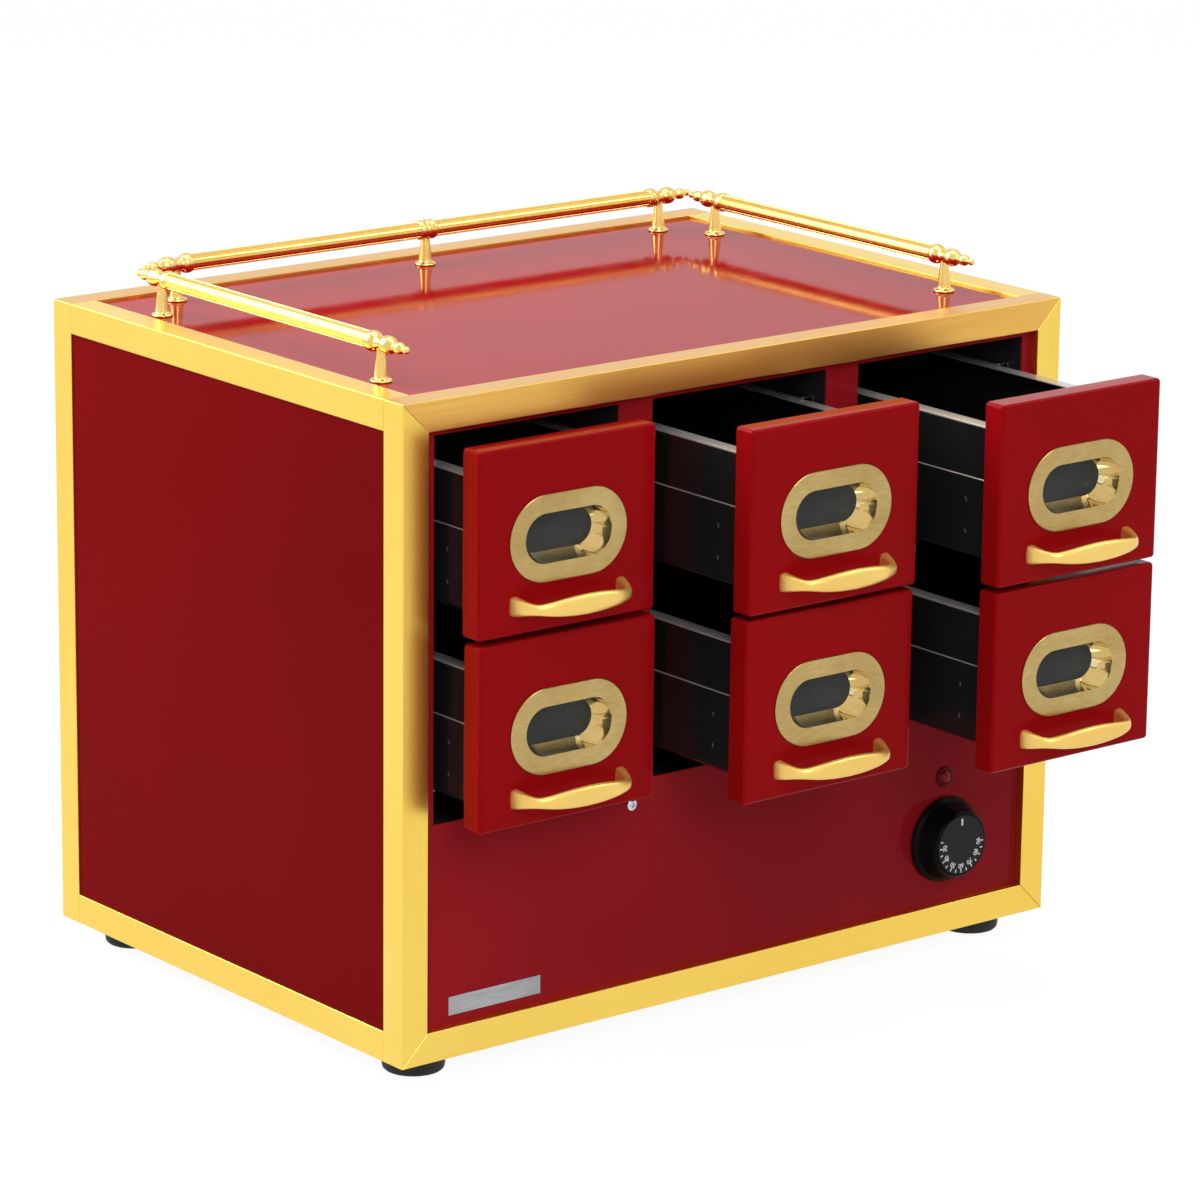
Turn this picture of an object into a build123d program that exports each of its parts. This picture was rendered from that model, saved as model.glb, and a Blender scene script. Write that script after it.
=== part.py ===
from build123d import *
from math import cos, radians, sin
import os

os.makedirs("parts", exist_ok=True)

# A drawer warmer with six drawers in a square-tube frame, a gallery rail on
# top and a control panel below the drawers. X runs along the front, Y runs
# from the front into the cabinet and Z is up. The sizes are in millimetres.

# Cabinet and frame
cabinet_width = 543.0
cabinet_depth = 384.0
frame_height = 425.0
tube_size = 20.0
tube_wall = 1.6
top_recess = 2.0
side_recess = 1.5
back_recess = 1.5
panel_thickness = 1.5
sheet = 1.5

# Feet
foot_height = 15.0
foot_radius = 21.0
foot_bottom_radius = 19.5
foot_inset = 35.0
foot_screw_radius = 2.5
foot_recess_radius = 6.0
foot_recess_depth = 6.0

# Face of the cabinet behind the frame's front
face_recess = 6.0
rim_side = 8.5
rim_top = 4.0
stile_width = 27.5
control_panel_height = 133.0
control_panel_margin = 5.0

# Drawer zone
row_gap = 3.3
casing_wall = 1.2
casing_back_gap = 34.0
divider_wall = 1.0

# Drawer fronts
front_side_gap = 2.68
front_thickness = 16.0
front_edge_radius = 2.2
pull_left = (37.0, 35.0)
pull_middle = (86.0, 88.0)
pull_right = (128.0, 128.5)

# Window in each drawer front
bezel_width = 91.2
bezel_height = 55.5
bezel_thickness = 1.6
bezel_drop = 1.2
window_width = 67.0
window_height = 34.4
reveal_taper = 6.0
barrel_wall = 1.6
barrel_depth = 12.5
pane_thickness = 3.0
fit_gap = 0.3
close_gap = 0.1

# Handles
handle_length = 90.0
handle_height_on_front = 17.5
handle_reach = 21.0
handle_foot_width = 7.0
handle_foot_height = 11.4
handle_neck_height = 6.2
handle_neck_width = 5.2
handle_neck_reach = 12.6
handle_neck_inset = 7.2
handle_foot_rise = 4.2
handle_foot_lean = 0.5
handle_shoulder_place = 0.55
handle_shoulder_rise = 0.72
handle_shoulder_fullness = 0.88
handle_foot_turn = 12.0
handle_neck_turn = 50.0
handle_shoulder_turn = 76.0
handle_middle_turn = 90.0
handle_belly_height = 12.0
handle_belly_width = 5.4
handle_screw_radius = 2.0
screw_head_radius = 3.8
screw_head_height = 2.4

# Trays
tray_side_gap = 6.83
tray_back_gap = 12.0
tray_sheet = 1.0
tray_above_front_bottom = 15.5
tray_below_front_top = 17.55
tray_ledge_drop = 34.5
tray_ledge = 1.2
tray_flange = 10.0
tray_window_margin = 4.0
rivet_radius = 2.2
rivet_height = 0.9
rivet_from_front = 20.0
rivet_levels = (0.3, 0.7)

# Drawer runners
runner_sheet = 1.2
runner_clearance = 0.3
runner_leg = 10.0
runner_back_gap = 0.5
runner_setback = 2.0
runner_stop_height = 24.0

# Heater below the drawers
heat_plate_thickness = 3.0
heat_plate_margin = 30.0
heater_radius = 4.0
heater_inset = 60.0
heater_bend = 70.0
heater_pin_radius = 1.6
heater_pin_length = 14.0
clip_width = 12.0
clip_wall = 2.0
clip_gap = 0.2

# Thermostat and its knob
knob_inset = 87.5
knob_height_on_frame = 64.7
knob_radius = 29.2
knob_face_radius = 22.0
knob_skirt = 3.0
knob_waist_step = 1.5
knob_face_chamfer = 1.0
knob_length = 18.5
knob_gap = 0.8
spindle_radius = 3.0
spindle_fit = 0.05
spindle_length = 26.0
spindle_in_body = 12.0
thermostat_width = 44.0
thermostat_height = 36.0
thermostat_depth = 30.0
bushing_radius = 6.0
bulb_radius = 3.0
bulb_length = 80.0
capillary_radius = 1.0

# Indicator lamp
lamp_height_on_frame = 107.7
lamp_flange_radius = 7.0
lamp_flange = 1.6
lamp_barrel_radius = 5.2
lamp_barrel_length = 22.0
lamp_lens_radius = 4.8
lamp_nut_radius = 8.0
lamp_nut_thickness = 2.5

# Nameplate
nameplate_width = 73.0
nameplate_height = 12.3
nameplate_thickness = 0.6
nameplate_left = 40.3
nameplate_height_on_frame = 26.0

# Gallery rails on the top
rail_radius = 5.6
flute_radius = 0.75
flute_count = 20
rail_height = 24.3
rail_inset_left = 33.0
rail_inset_right = 44.0
rail_inset_back = 44.0
side_post_front = 67.0
side_post_back_inset = 78.0
back_post_inset = 67.5
post_foot_radius = 7.0
post_foot_thickness = 2.2
post_bottom_radius = 4.6
post_top_radius = 2.8
post_ring_radius = 6.6
post_ring_start = 11.2
post_ring_end = 6.8
post_ring_chamfer = 1.2
post_waist_radius = 4.2
post_waist_start = 3.0
post_waist_end = 3.2
post_collar_radius = 6.9
post_collar_length = 5.0
rail_end = 6.9
finial_overhang = 28.0
finial_bell_radius = 5.9
finial_bell_start = 6.4
finial_bell_end = 8.6
finial_neck_radius = 2.7
finial_neck_start = 14.4
finial_bead_radius = 3.8
finial_bead_place = 18.7
finial_stem_radius = 1.9
finial_tip_radius = 2.3

# Back, base, gland and wiring
vent_width = 5.0
vent_length = 34.0
vent_pitch = 14.0
vent_count = 12
vent_drop = 34.0
base_vent_count = 8
gland_inset = 81.5
gland_height_on_frame = 62.0
gland_bore_radius = 4.0
gland_thread_radius = 8.0
gland_hex = 22.0
gland_hex_thickness = 5.0
gland_dome_length = 14.0
gland_inner_length = 10.0
gland_dome_step = 1.0
gland_lip = 2.5
terminal_width = 46.0
terminal_depth = 22.0
terminal_height = 18.0
terminal_inset = 84.0
terminal_ways = 3
terminal_bore_radius = 2.25
wire_radius = 1.3
wire_bend = 12.0
wire_corner_radius = 9.6
wire_spacing = 5.0
wire_leads = (40.0, 60.0, 80.0)
thermostat_lead = 30.0
lamp_lead = 34.0
face_screw_radius = 4.0
face_screw_height = 2.2
face_screw_drop = 15.3
shank_radius = 1.9
back_screw_inset = 12.0
back_screw_length = 6.0

# Sizes that follow from the ones above
frame_bottom = foot_height
frame_top = frame_bottom + frame_height
inner_x = cabinet_width / 2 - tube_size
inner_bottom = frame_bottom + tube_size
inner_top = frame_top - tube_size
inner_back = cabinet_depth - tube_size
face_back = face_recess + sheet
opening_half = inner_x - rim_side
opening_width = (2 * opening_half - 2 * stile_width) / 3
front_width = opening_width - 2 * front_side_gap
tray_width = opening_width - 2 * tray_side_gap
column_pitch = opening_width + stile_width
panel_top = inner_bottom + control_panel_height
opening_top = inner_top - rim_top
front_height = (opening_top - panel_top - 3 * row_gap) / 2
column_x = (-column_pitch, 0.0, column_pitch)
row_z = (panel_top + row_gap, panel_top + 2 * row_gap + front_height)
tray_half = tray_width / 2
tray_height = front_height - tray_above_front_bottom - tray_below_front_top
tray_ledge_height = tray_height - tray_ledge_drop
casing_back = cabinet_depth - casing_back_gap
tray_length = casing_back - front_thickness - tray_back_gap
handle_foot_x = (handle_length - handle_foot_width) / 2
knob_x = cabinet_width / 2 - knob_inset
gland_x = gland_inset - cabinet_width / 2
terminal_y = cabinet_depth - terminal_inset
side_post_back = cabinet_depth - side_post_back_inset
back_post_spread = cabinet_width / 2 - back_post_inset
top_surface = frame_top - top_recess
rail_z = top_surface + rail_height
plate_bottom = panel_top - casing_wall - heat_plate_thickness
heater_z = plate_bottom - heater_radius - clip_gap
knob_z = frame_bottom + knob_height_on_frame
lamp_z = frame_bottom + lamp_height_on_frame
gland_z = frame_bottom + gland_height_on_frame
back_face = cabinet_depth - back_recess
back_inner = back_face - sheet
gland_reach = gland_hex_thickness + gland_dome_length
columns = ("left", "middle", "right")
rows = ("lower", "upper")
pulls = (pull_left, pull_middle, pull_right)

# The origin is below the middle of the whole part, with the drawers as they
# stand at rest.
front_reach = max(max(pair) for pair in pulls) + handle_reach + handle_belly_width / 2
back_reach = max(cabinet_depth, back_face + gland_reach)
to_origin = Pos(0, (front_reach - back_reach) / 2, 0)


def block(x, y, z):
    """A box between pairs of limits."""
    size = (x[1] - x[0], y[1] - y[0], z[1] - z[0])
    return Pos(x[0], y[0], z[0]) * Box(*size, align=(Align.MIN, Align.MIN, Align.MIN))


def rod(radius, start, end):
    """A round bar from one point to another."""
    path = Line(start, end)
    return sweep(Plane(path @ 0, z_dir=path % 0) * Circle(radius), path=path)


def ring(outer, inner, start, end):
    """A round tube from one point to another."""
    return rod(outer, start, end) - rod(inner, start, end)


def wire(radius, points, bend):
    """A round wire through points, with a bend at each."""
    path = FilletPolyline(*points, radius=bend)
    return sweep(Plane(path @ 0, z_dir=path % 0) * Circle(radius), path=path)


def slot_prism(width, height, centre, y_front, y_back):
    """A straight prism with round ends, seen from the front."""
    outline = Plane((centre[0], y_front, centre[1]), x_dir=(1, 0, 0), z_dir=(0, 1, 0))
    return extrude(outline * SlotOverall(width, height), y_back - y_front)


def save(name, shapes):
    """Write one node with each of its solids apart."""
    solids = [solid for shape in shapes for solid in (to_origin * shape).solids()]
    export_step(Compound(children=solids) if len(solids) > 1 else solids[0], f"parts/{name}.step")


def mitred_tube(length):
    """A square tube along X with its outer side on z = 0 and mitred ends."""
    half = length / 2
    short = half - tube_size
    corners = ((-half, 0), (half, 0), (short, tube_size), (-short, tube_size))
    outline = Plane.XZ * make_face(Polyline(*corners, close=True))
    inside = (tube_wall, tube_size - tube_wall)
    return extrude(outline, -tube_size) - block((-half, half), inside, inside)


def surround():
    """The four mitred tubes round the front or the back."""
    middle = (frame_bottom + frame_top) / 2
    return [
        Pos(0, 0, frame_bottom) * mitred_tube(cabinet_width),
        Pos(0, 0, frame_top) * Rot(0, 180, 0) * mitred_tube(cabinet_width),
        Pos(-cabinet_width / 2, 0, middle) * Rot(0, 90, 0) * mitred_tube(frame_height),
        Pos(cabinet_width / 2, 0, middle) * Rot(0, -90, 0) * mitred_tube(frame_height),
    ]


def side_rails():
    """The four straight tubes between the two surrounds."""
    rails = []
    for side in (-1, 1):
        for low in (frame_bottom, inner_top):
            near = (side * cabinet_width / 2, side * inner_x)
            x = (min(near), max(near))
            z = (low, low + tube_size)
            hollow = [(pair[0] + tube_wall, pair[1] - tube_wall) for pair in (x, z)]
            run = (tube_size, inner_back)
            rails.append(block(x, run, z) - block(hollow[0], run, hollow[1]))
    return rails


def side_panel(side):
    outside = side * (cabinet_width / 2 - side_recess)
    inside = outside - side * panel_thickness
    x = (min(outside, inside), max(outside, inside))
    return block(x, (tube_size, inner_back), (inner_bottom, inner_top))


def top_panel():
    z = (top_surface - panel_thickness, top_surface)
    return block((-inner_x, inner_x), (tube_size, inner_back), z)


def back_screw_places():
    """Screw places round the edge of the back panel, as x and z."""
    x_edge = inner_x - back_screw_inset
    low = inner_bottom + back_screw_inset
    high = inner_top - back_screw_inset
    places = [(x, z) for x in (-x_edge, 0, x_edge) for z in (low, high)]
    return places + [(x, (low + high) / 2) for x in (-x_edge, x_edge)]


def back_panel():
    panel = block((-inner_x, inner_x), (back_inner, back_face), (inner_bottom, inner_top))
    first = -(vent_count - 1) * vent_pitch / 2
    for count in range(vent_count):
        x = first + count * vent_pitch
        z = inner_top - vent_drop - vent_length / 2
        slot = extrude(Plane((x, back_inner, z), x_dir=(0, 0, 1), z_dir=(0, 1, 0))
                       * SlotOverall(vent_length, vent_width), sheet)
        panel -= slot
    panel -= rod(gland_thread_radius + fit_gap, (gland_x, back_inner, gland_z),
                 (gland_x, back_face, gland_z))
    for x, z in back_screw_places():
        panel -= rod(shank_radius + fit_gap, (x, back_inner, z), (x, back_face, z))
    return panel


def foot_places():
    x = cabinet_width / 2 - foot_inset
    return [(side * x, y) for side in (-1, 1) for y in (foot_inset, cabinet_depth - foot_inset)]


def base_panel():
    panel = block((-inner_x, inner_x), (tube_size, inner_back), (frame_bottom, frame_bottom + sheet))
    first = -(base_vent_count - 1) * vent_pitch / 2
    for count in range(base_vent_count):
        place = Pos(first + count * vent_pitch, cabinet_depth / 2, frame_bottom)
        panel -= extrude(place * Rot(0, 0, 90) * SlotOverall(vent_length, vent_width), sheet)
    for x, y in foot_places():
        panel -= rod(foot_screw_radius + fit_gap, (x, y, frame_bottom), (x, y, frame_bottom + sheet))
    return panel


def foot(x, y):
    """A tapered rubber foot with a recess for its screw."""
    body = Pos(x, y, 0) * Cone(foot_bottom_radius, foot_radius, foot_height,
                               align=(Align.CENTER, Align.CENTER, Align.MIN))
    body -= rod(foot_recess_radius, (x, y, 0), (x, y, foot_recess_depth))
    return body - rod(foot_screw_radius + fit_gap, (x, y, 0), (x, y, foot_height))


def foot_screw(x, y):
    """The screw that holds a foot to the base panel."""
    top = frame_bottom + sheet + screw_head_height
    shank = rod(foot_screw_radius, (x, y, foot_recess_depth), (x, y, top))
    head_low = foot_recess_depth - screw_head_height
    return shank + rod(screw_head_radius, (x, y, head_low), (x, y, foot_recess_depth))


def front_grid():
    """The rim, the two stiles and the top rail round the drawers."""
    face = (face_recess, face_back)
    grid = block((-inner_x, inner_x), face, (inner_bottom, inner_top))
    panel_half = inner_x - control_panel_margin
    grid -= block((-panel_half, panel_half), face, (inner_bottom, panel_top))
    for x in column_x:
        opening = (x - opening_width / 2, x + opening_width / 2)
        grid -= block(opening, face, (panel_top, opening_top))
    return grid


def face_screw_places():
    """The two screws below the stiles."""
    stile = (opening_width + stile_width) / 2
    return [(side * stile, panel_top - face_screw_drop) for side in (-1, 1)]


def control_panel():
    half = inner_x - control_panel_margin
    face = (face_recess, face_back)
    panel = block((-half, half), face, (inner_bottom, panel_top))
    panel -= rod(bushing_radius + fit_gap, (knob_x, face[0], knob_z), (knob_x, face[1], knob_z))
    panel -= rod(lamp_barrel_radius + fit_gap, (knob_x, face[0], lamp_z), (knob_x, face[1], lamp_z))
    for x, z in face_screw_places():
        panel -= rod(shank_radius + fit_gap, (x, face[0], z), (x, face[1], z))
    return panel


def inner_casing():
    """The sheet box that the drawers run in, open at the front."""
    outer = opening_half + casing_wall
    height = (panel_top - casing_wall, opening_top + casing_wall)
    box = block((-outer, outer), (face_back, casing_back + casing_wall), height)
    inside = (-opening_half, opening_half)
    return box - block(inside, (face_back, casing_back), (panel_top, opening_top))


def divider(side):
    """A folded sheet wall behind a stile, open towards the back."""
    middle = side * column_pitch / 2
    x = (middle - stile_width / 2, middle + stile_width / 2)
    inside = (x[0] + divider_wall, x[1] - divider_wall)
    height = (panel_top, opening_top)
    wall = block(x, (face_back, casing_back), height)
    return wall - block(inside, (face_back + divider_wall, casing_back), height)


def runner(column, row, side):
    """A channel beside a tray, with a leg below it, a leg above it and a stop."""
    wall = column_x[column] + side * opening_width / 2
    low = row_z[row] + tray_above_front_bottom - runner_clearance
    high = row_z[row] + tray_above_front_bottom + tray_height + runner_clearance
    begin = front_thickness + runner_setback
    stop = front_thickness + tray_length + runner_back_gap
    run = (begin, stop + runner_sheet)

    def from_wall(reach):
        inner = wall - side * reach
        return (min(wall, inner), max(wall, inner))

    web = block(from_wall(runner_sheet), run, (low - runner_sheet, high + runner_sheet))
    below = block(from_wall(runner_leg), run, (low - runner_sheet, low))
    above = block(from_wall(runner_leg), run, (high, high + runner_sheet))
    stop_height = (low - runner_sheet, low + runner_stop_height)
    end = block(from_wall(runner_leg), (stop, stop + runner_sheet), stop_height)
    return web + below + above + end


def tray(column, row):
    """An open pan with a stepped side wall and an inward flange round its top."""
    x = column_x[column]
    y = front_thickness - pulls[column][row]
    z = row_z[row] + tray_above_front_bottom
    ends = (y, y + tray_length)
    top = z + tray_height
    ledge = z + tray_ledge_height
    wide = tray_half + tray_ledge
    body = block((x - wide, x + wide), ends, (z, ledge))
    body += block((x - tray_half, x + tray_half), ends, (ledge, top))
    inside = (ends[0] + tray_sheet, ends[1] - tray_sheet)
    lower_half = wide - tray_sheet
    upper_half = tray_half - tray_sheet
    body -= block((x - lower_half, x + lower_half), inside, (z + tray_sheet, ledge - tray_sheet))
    body -= block((x - upper_half, x + upper_half), inside, (ledge - tray_sheet, top - tray_sheet))
    rim = tray_half - tray_flange
    mouth = (ends[0] + tray_flange, ends[1] - tray_flange)
    body -= block((x - rim, x + rim), mouth, (top - tray_sheet, top))
    sight = window_width - 2 * reveal_taper + tray_window_margin
    sight_height = window_height - 2 * reveal_taper + tray_window_margin
    centre = (x, row_z[row] + front_height / 2 - bezel_drop)
    body -= slot_prism(sight, sight_height, centre, ends[0], inside[0])
    for place in tray_screw_places(column, row):
        body -= rod(handle_screw_radius + fit_gap, (place[0], ends[0], place[1]),
                    (place[0], inside[0], place[1]))
    return body


def tray_screw_places(column, row):
    """Where four screws hold a tray to its front, as x and z."""
    x = column_x[column]
    bottom = row_z[row] + tray_above_front_bottom
    spread = tray_half - tray_flange
    levels = (bottom + 2 * tray_flange, bottom + tray_height - 2 * tray_flange)
    return [(x + side * spread, z) for side in (-1, 1) for z in levels]


def tray_screw(place, pull):
    """A screw from inside the tray into the back of its front."""
    inside = front_thickness + tray_sheet - pull
    tip = inside - tray_sheet - front_thickness / 2
    x, z = place
    shank = rod(handle_screw_radius, (x, tip, z), (x, inside, z))
    return shank + rod(screw_head_radius, (x, inside, z), (x, inside + screw_head_height, z))


def tray_rivets(column, row):
    """Rivet heads low on both side walls near the front."""
    heads = []
    for side in (-1, 1):
        face = column_x[column] + side * (tray_half + tray_ledge)
        y = front_thickness - pulls[column][row] + rivet_from_front
        for share in rivet_levels:
            z = row_z[row] + tray_above_front_bottom + share * tray_ledge_height
            heads.append(rod(rivet_radius, (face, y, z), (face + side * rivet_height, y, z)))
    return heads


def drawer_front(column, row):
    """A board with softened front edges, a window hole and screw holes."""
    x = column_x[column]
    y = -pulls[column][row]
    z = row_z[row]
    back = y + front_thickness
    board = block((x - front_width / 2, x + front_width / 2), (y, back), (z, z + front_height))
    soft = [edge for edge in board.edges() if edge.center().Y < back - fit_gap]
    board = fillet(soft, front_edge_radius)
    centre = (x, z + front_height / 2 - bezel_drop)
    hole = barrel_size(2 * fit_gap)
    board -= slot_prism(hole[0], hole[1], centre, y, back)
    pilot = handle_screw_radius + fit_gap
    deep = back - front_thickness / 2 - fit_gap
    for across, up in tray_screw_places(column, row):
        board -= rod(pilot, (across, deep, up), (across, back, up))
    up = z + handle_height_on_front
    sunk = back - screw_head_height - fit_gap
    for side in (-1, 1):
        across = x + side * handle_foot_x
        board -= rod(pilot, (across, y, up), (across, back, up))
        board -= rod(screw_head_radius + fit_gap, (across, sunk, up), (across, back, up))
    return board


def barrel_size(extra):
    """Outer width and height of the barrel behind a bezel."""
    grow = 2 * barrel_wall + extra
    return (window_width + grow, window_height + grow)


def bezel(column, row):
    """A flat ring with a barrel behind it and a tapered way through."""
    x = column_x[column]
    y = -pulls[column][row]
    centre = (x, row_z[row] + front_height / 2 - bezel_drop)
    outer = barrel_size(0)
    body = slot_prism(bezel_width, bezel_height, centre, y - bezel_thickness, y)
    body += slot_prism(outer[0], outer[1], centre, y, y + barrel_depth)
    ends = []
    for shrink, depth in ((0, y - bezel_thickness), (reveal_taper, y + barrel_depth)):
        plane = Plane((centre[0], depth, centre[1]), x_dir=(1, 0, 0), z_dir=(0, 1, 0))
        ends.append(plane * SlotOverall(window_width - 2 * shrink, window_height - 2 * shrink))
    return body - loft(ends)


def pane(column, row):
    """The smoked glass behind the bezel's barrel."""
    y = barrel_depth - pulls[column][row]
    centre = (column_x[column], row_z[row] + front_height / 2 - bezel_drop)
    size = barrel_size(0)
    return slot_prism(size[0], size[1], centre, y, y + pane_thickness)


def handle(column, row):
    """A bow handle with flared feet, slim necks and a full middle."""
    neck_x = handle_length / 2 - handle_neck_inset
    shoulder_reach = handle_neck_reach + handle_shoulder_rise * (handle_reach - handle_neck_reach)
    # Each station has its distance from the middle, its reach, the turn of
    # its section, its width and its height.
    stations = [
        (handle_foot_x, 0.0, 0.0, handle_foot_width, handle_foot_height),
        (handle_foot_x - handle_foot_lean, handle_foot_rise, handle_foot_turn,
         (handle_foot_width + handle_neck_width) / 2, (handle_foot_height + handle_neck_height) / 2),
        (neck_x, handle_neck_reach, handle_neck_turn, handle_neck_width, handle_neck_height),
        (neck_x * handle_shoulder_place, shoulder_reach, handle_shoulder_turn,
         (handle_neck_width + handle_belly_width) / 2, handle_shoulder_fullness * handle_belly_height),
    ]
    middle = (0.0, handle_reach, handle_middle_turn, handle_belly_width, handle_belly_height)
    x = column_x[column]
    y = -pulls[column][row]
    z = row_z[row] + handle_height_on_front
    run = [(-1, station) for station in stations]
    run += [(-1, middle)] + [(1, station) for station in reversed(stations)]
    sections = []
    for side, (across, reach, turn, width, height) in run:
        angle = radians(turn)
        along = (cos(angle), -side * sin(angle), 0)
        normal = (sin(angle), side * cos(angle), 0)
        plane = Plane((x + side * across, y - reach, z), x_dir=along, z_dir=normal)
        sections.append(plane * Ellipse(width / 2, height / 2))
    return loft(sections)


def handle_screws(column, row):
    """Two screws from the back of the front up to the handle's feet."""
    y = -pulls[column][row]
    back = y + front_thickness
    z = row_z[row] + handle_height_on_front
    screws = []
    for side in (-1, 1):
        x = column_x[column] + side * handle_foot_x
        shank = rod(handle_screw_radius, (x, y, z), (x, back, z))
        screws.append(shank + rod(screw_head_radius, (x, back - screw_head_height, z), (x, back, z)))
    return screws


def heat_plate():
    half = opening_half - heat_plate_margin
    y = (face_back + heat_plate_margin, casing_back - heat_plate_margin)
    return block((-half, half), y, (plate_bottom, plate_bottom + heat_plate_thickness))


def heater_lines():
    """The two straight runs of the heater and where they end, in X and Y."""
    half = opening_half - heater_inset
    return half, face_back + heater_inset, casing_back - heater_inset


def heating_element():
    """A sheathed heater in one U, with a pin at each end."""
    half, near, far = heater_lines()
    points = [(half, near, heater_z), (-half, near, heater_z), (-half, far, heater_z), (half, far, heater_z)]
    pieces = [wire(heater_radius, points, heater_bend)]
    for y in (near, far):
        pieces.append(rod(heater_pin_radius, (half, y, heater_z), (half + heater_pin_length, y, heater_z)))
    return pieces


def element_clips():
    """Saddles that hold the heater under the heat plate."""
    half, near, far = heater_lines()
    clips = []
    reach = heater_radius + clip_gap + clip_wall
    for y in (near, far):
        for x in (-half / 2, half / 2):
            run = (x - clip_width / 2, x + clip_width / 2)
            saddle = block(run, (y - reach, y + reach), (heater_z - reach, plate_bottom))
            bore = rod(heater_radius + clip_gap, (run[0], y, heater_z), (run[1], y, heater_z))
            throat = (y - heater_radius - clip_gap, y + heater_radius + clip_gap)
            clips.append(saddle - bore - block(run, throat, (heater_z, plate_bottom)))
    return clips


def thermostat_body():
    """The switch box, its bushing, and the capillary and bulb that sense heat."""
    box_x = (knob_x - thermostat_width / 2, knob_x + thermostat_width / 2)
    box_z = (knob_z - thermostat_height / 2, knob_z + thermostat_height / 2)
    box = block(box_x, (face_back, face_back + thermostat_depth), box_z)
    box += rod(bushing_radius, (knob_x, face_recess, knob_z), (knob_x, face_back, knob_z))
    bore_end = face_back + spindle_in_body
    box -= rod(spindle_radius + spindle_fit, (knob_x, face_recess, knob_z), (knob_x, bore_end, knob_z))
    _, near, far = heater_lines()
    middle = (near + far) / 2
    bulb_z = plate_bottom - bulb_radius - clip_gap
    bulb_start = middle - bulb_length / 2
    bulb = rod(bulb_radius, (knob_x, bulb_start, bulb_z), (knob_x, bulb_start + bulb_length, bulb_z))
    start = face_back + thermostat_depth
    bend_y = (start + bulb_start) / 2
    route = [(knob_x, start, knob_z), (knob_x, bend_y, knob_z), (knob_x, bend_y, bulb_z),
             (knob_x, bulb_start, bulb_z)]
    capillary = wire(capillary_radius, route, wire_bend)
    return [box, bulb, capillary]


def spindle():
    """The thermostat's turning spindle, from inside the box into the knob."""
    end = face_back + spindle_in_body - fit_gap
    return rod(spindle_radius, (knob_x, end - spindle_length, knob_z), (knob_x, end, knob_z))


def knob():
    """A skirted knob with a flat dial face, bored for the spindle."""
    back = face_recess - knob_gap
    face = back - knob_length
    waist = knob_face_radius + knob_waist_step
    profile = [
        (0, back), (knob_radius, back), (knob_radius, back - knob_skirt), (waist, back - 2 * knob_skirt),
        (knob_face_radius, face + knob_face_chamfer), (knob_face_radius - knob_face_chamfer, face), (0, face),
    ]
    outline = Plane.XY * make_face(Polyline(*profile, close=True))
    body = Pos(knob_x, 0, knob_z) * revolve(outline, Axis.Y)
    tip = face_back + spindle_in_body - fit_gap - spindle_length
    return body - rod(spindle_radius + spindle_fit, (knob_x, tip - fit_gap, knob_z), (knob_x, back, knob_z))


def indicator_lamp():
    """A panel lamp: flanged barrel, domed lens and the nut behind the panel."""
    front = face_recess - lamp_flange
    end = face_recess + lamp_barrel_length
    barrel = rod(lamp_flange_radius, (knob_x, front, lamp_z), (knob_x, face_recess, lamp_z))
    barrel += rod(lamp_barrel_radius, (knob_x, face_recess, lamp_z), (knob_x, end, lamp_z))
    lens = Pos(knob_x, front, lamp_z) * Rot(90, 0, 0) * Cylinder(
        lamp_lens_radius, lamp_flange, align=(Align.CENTER, Align.CENTER, Align.MIN))
    lens = fillet(lens.edges().sort_by(Axis.Y)[0], lamp_flange / 2)
    nut_end = face_back + lamp_nut_thickness
    nut = ring(lamp_nut_radius, lamp_barrel_radius + close_gap, (knob_x, face_back, lamp_z),
               (knob_x, nut_end, lamp_z))
    return [barrel, lens, nut]


def nameplate():
    left = nameplate_left - cabinet_width / 2
    bottom = frame_bottom + nameplate_height_on_frame
    y = (face_recess - nameplate_thickness, face_recess)
    return block((left, left + nameplate_width), y, (bottom, bottom + nameplate_height))


def fluted_tube(start, end):
    """A rail with shallow flutes along its length."""
    plane = Plane(start, z_dir=Vector(*end) - Vector(*start))
    outline = Circle(rail_radius) - [
        Rot(0, 0, 360 * turn / flute_count) * Pos(rail_radius, 0) * Circle(flute_radius)
        for turn in range(flute_count)]
    return extrude(plane * outline, (Vector(*end) - Vector(*start)).length)


def rail_runs():
    """Each rail's end posts, and its middle post where it has one."""
    left = rail_inset_left - cabinet_width / 2
    right = cabinet_width / 2 - rail_inset_right
    back = cabinet_depth - rail_inset_back
    return [
        ((left, side_post_front), (left, side_post_back), []),
        ((right, side_post_front), (right, side_post_back), []),
        ((-back_post_spread, back), (back_post_spread, back), [(0.0, back)]),
    ]


def turned(profile, place, outward):
    """A turned piece on a rail's line, from pairs of radius and way outward."""
    body = revolve(Plane.XZ * make_face(Polyline(*profile, close=True)), Axis.Z)
    return Plane((place[0], place[1], rail_z), z_dir=outward) * body


def post_column(place, top):
    """A tapered post with a foot flange, up to a height."""
    x, y = place
    low = top_surface + post_foot_thickness
    body = rod(post_foot_radius, (x, y, top_surface), (x, y, low))
    return body + Pos(x, y, low) * Cone(post_bottom_radius, post_top_radius, top - low,
                                        align=(Align.CENTER, Align.CENTER, Align.MIN))


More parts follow.
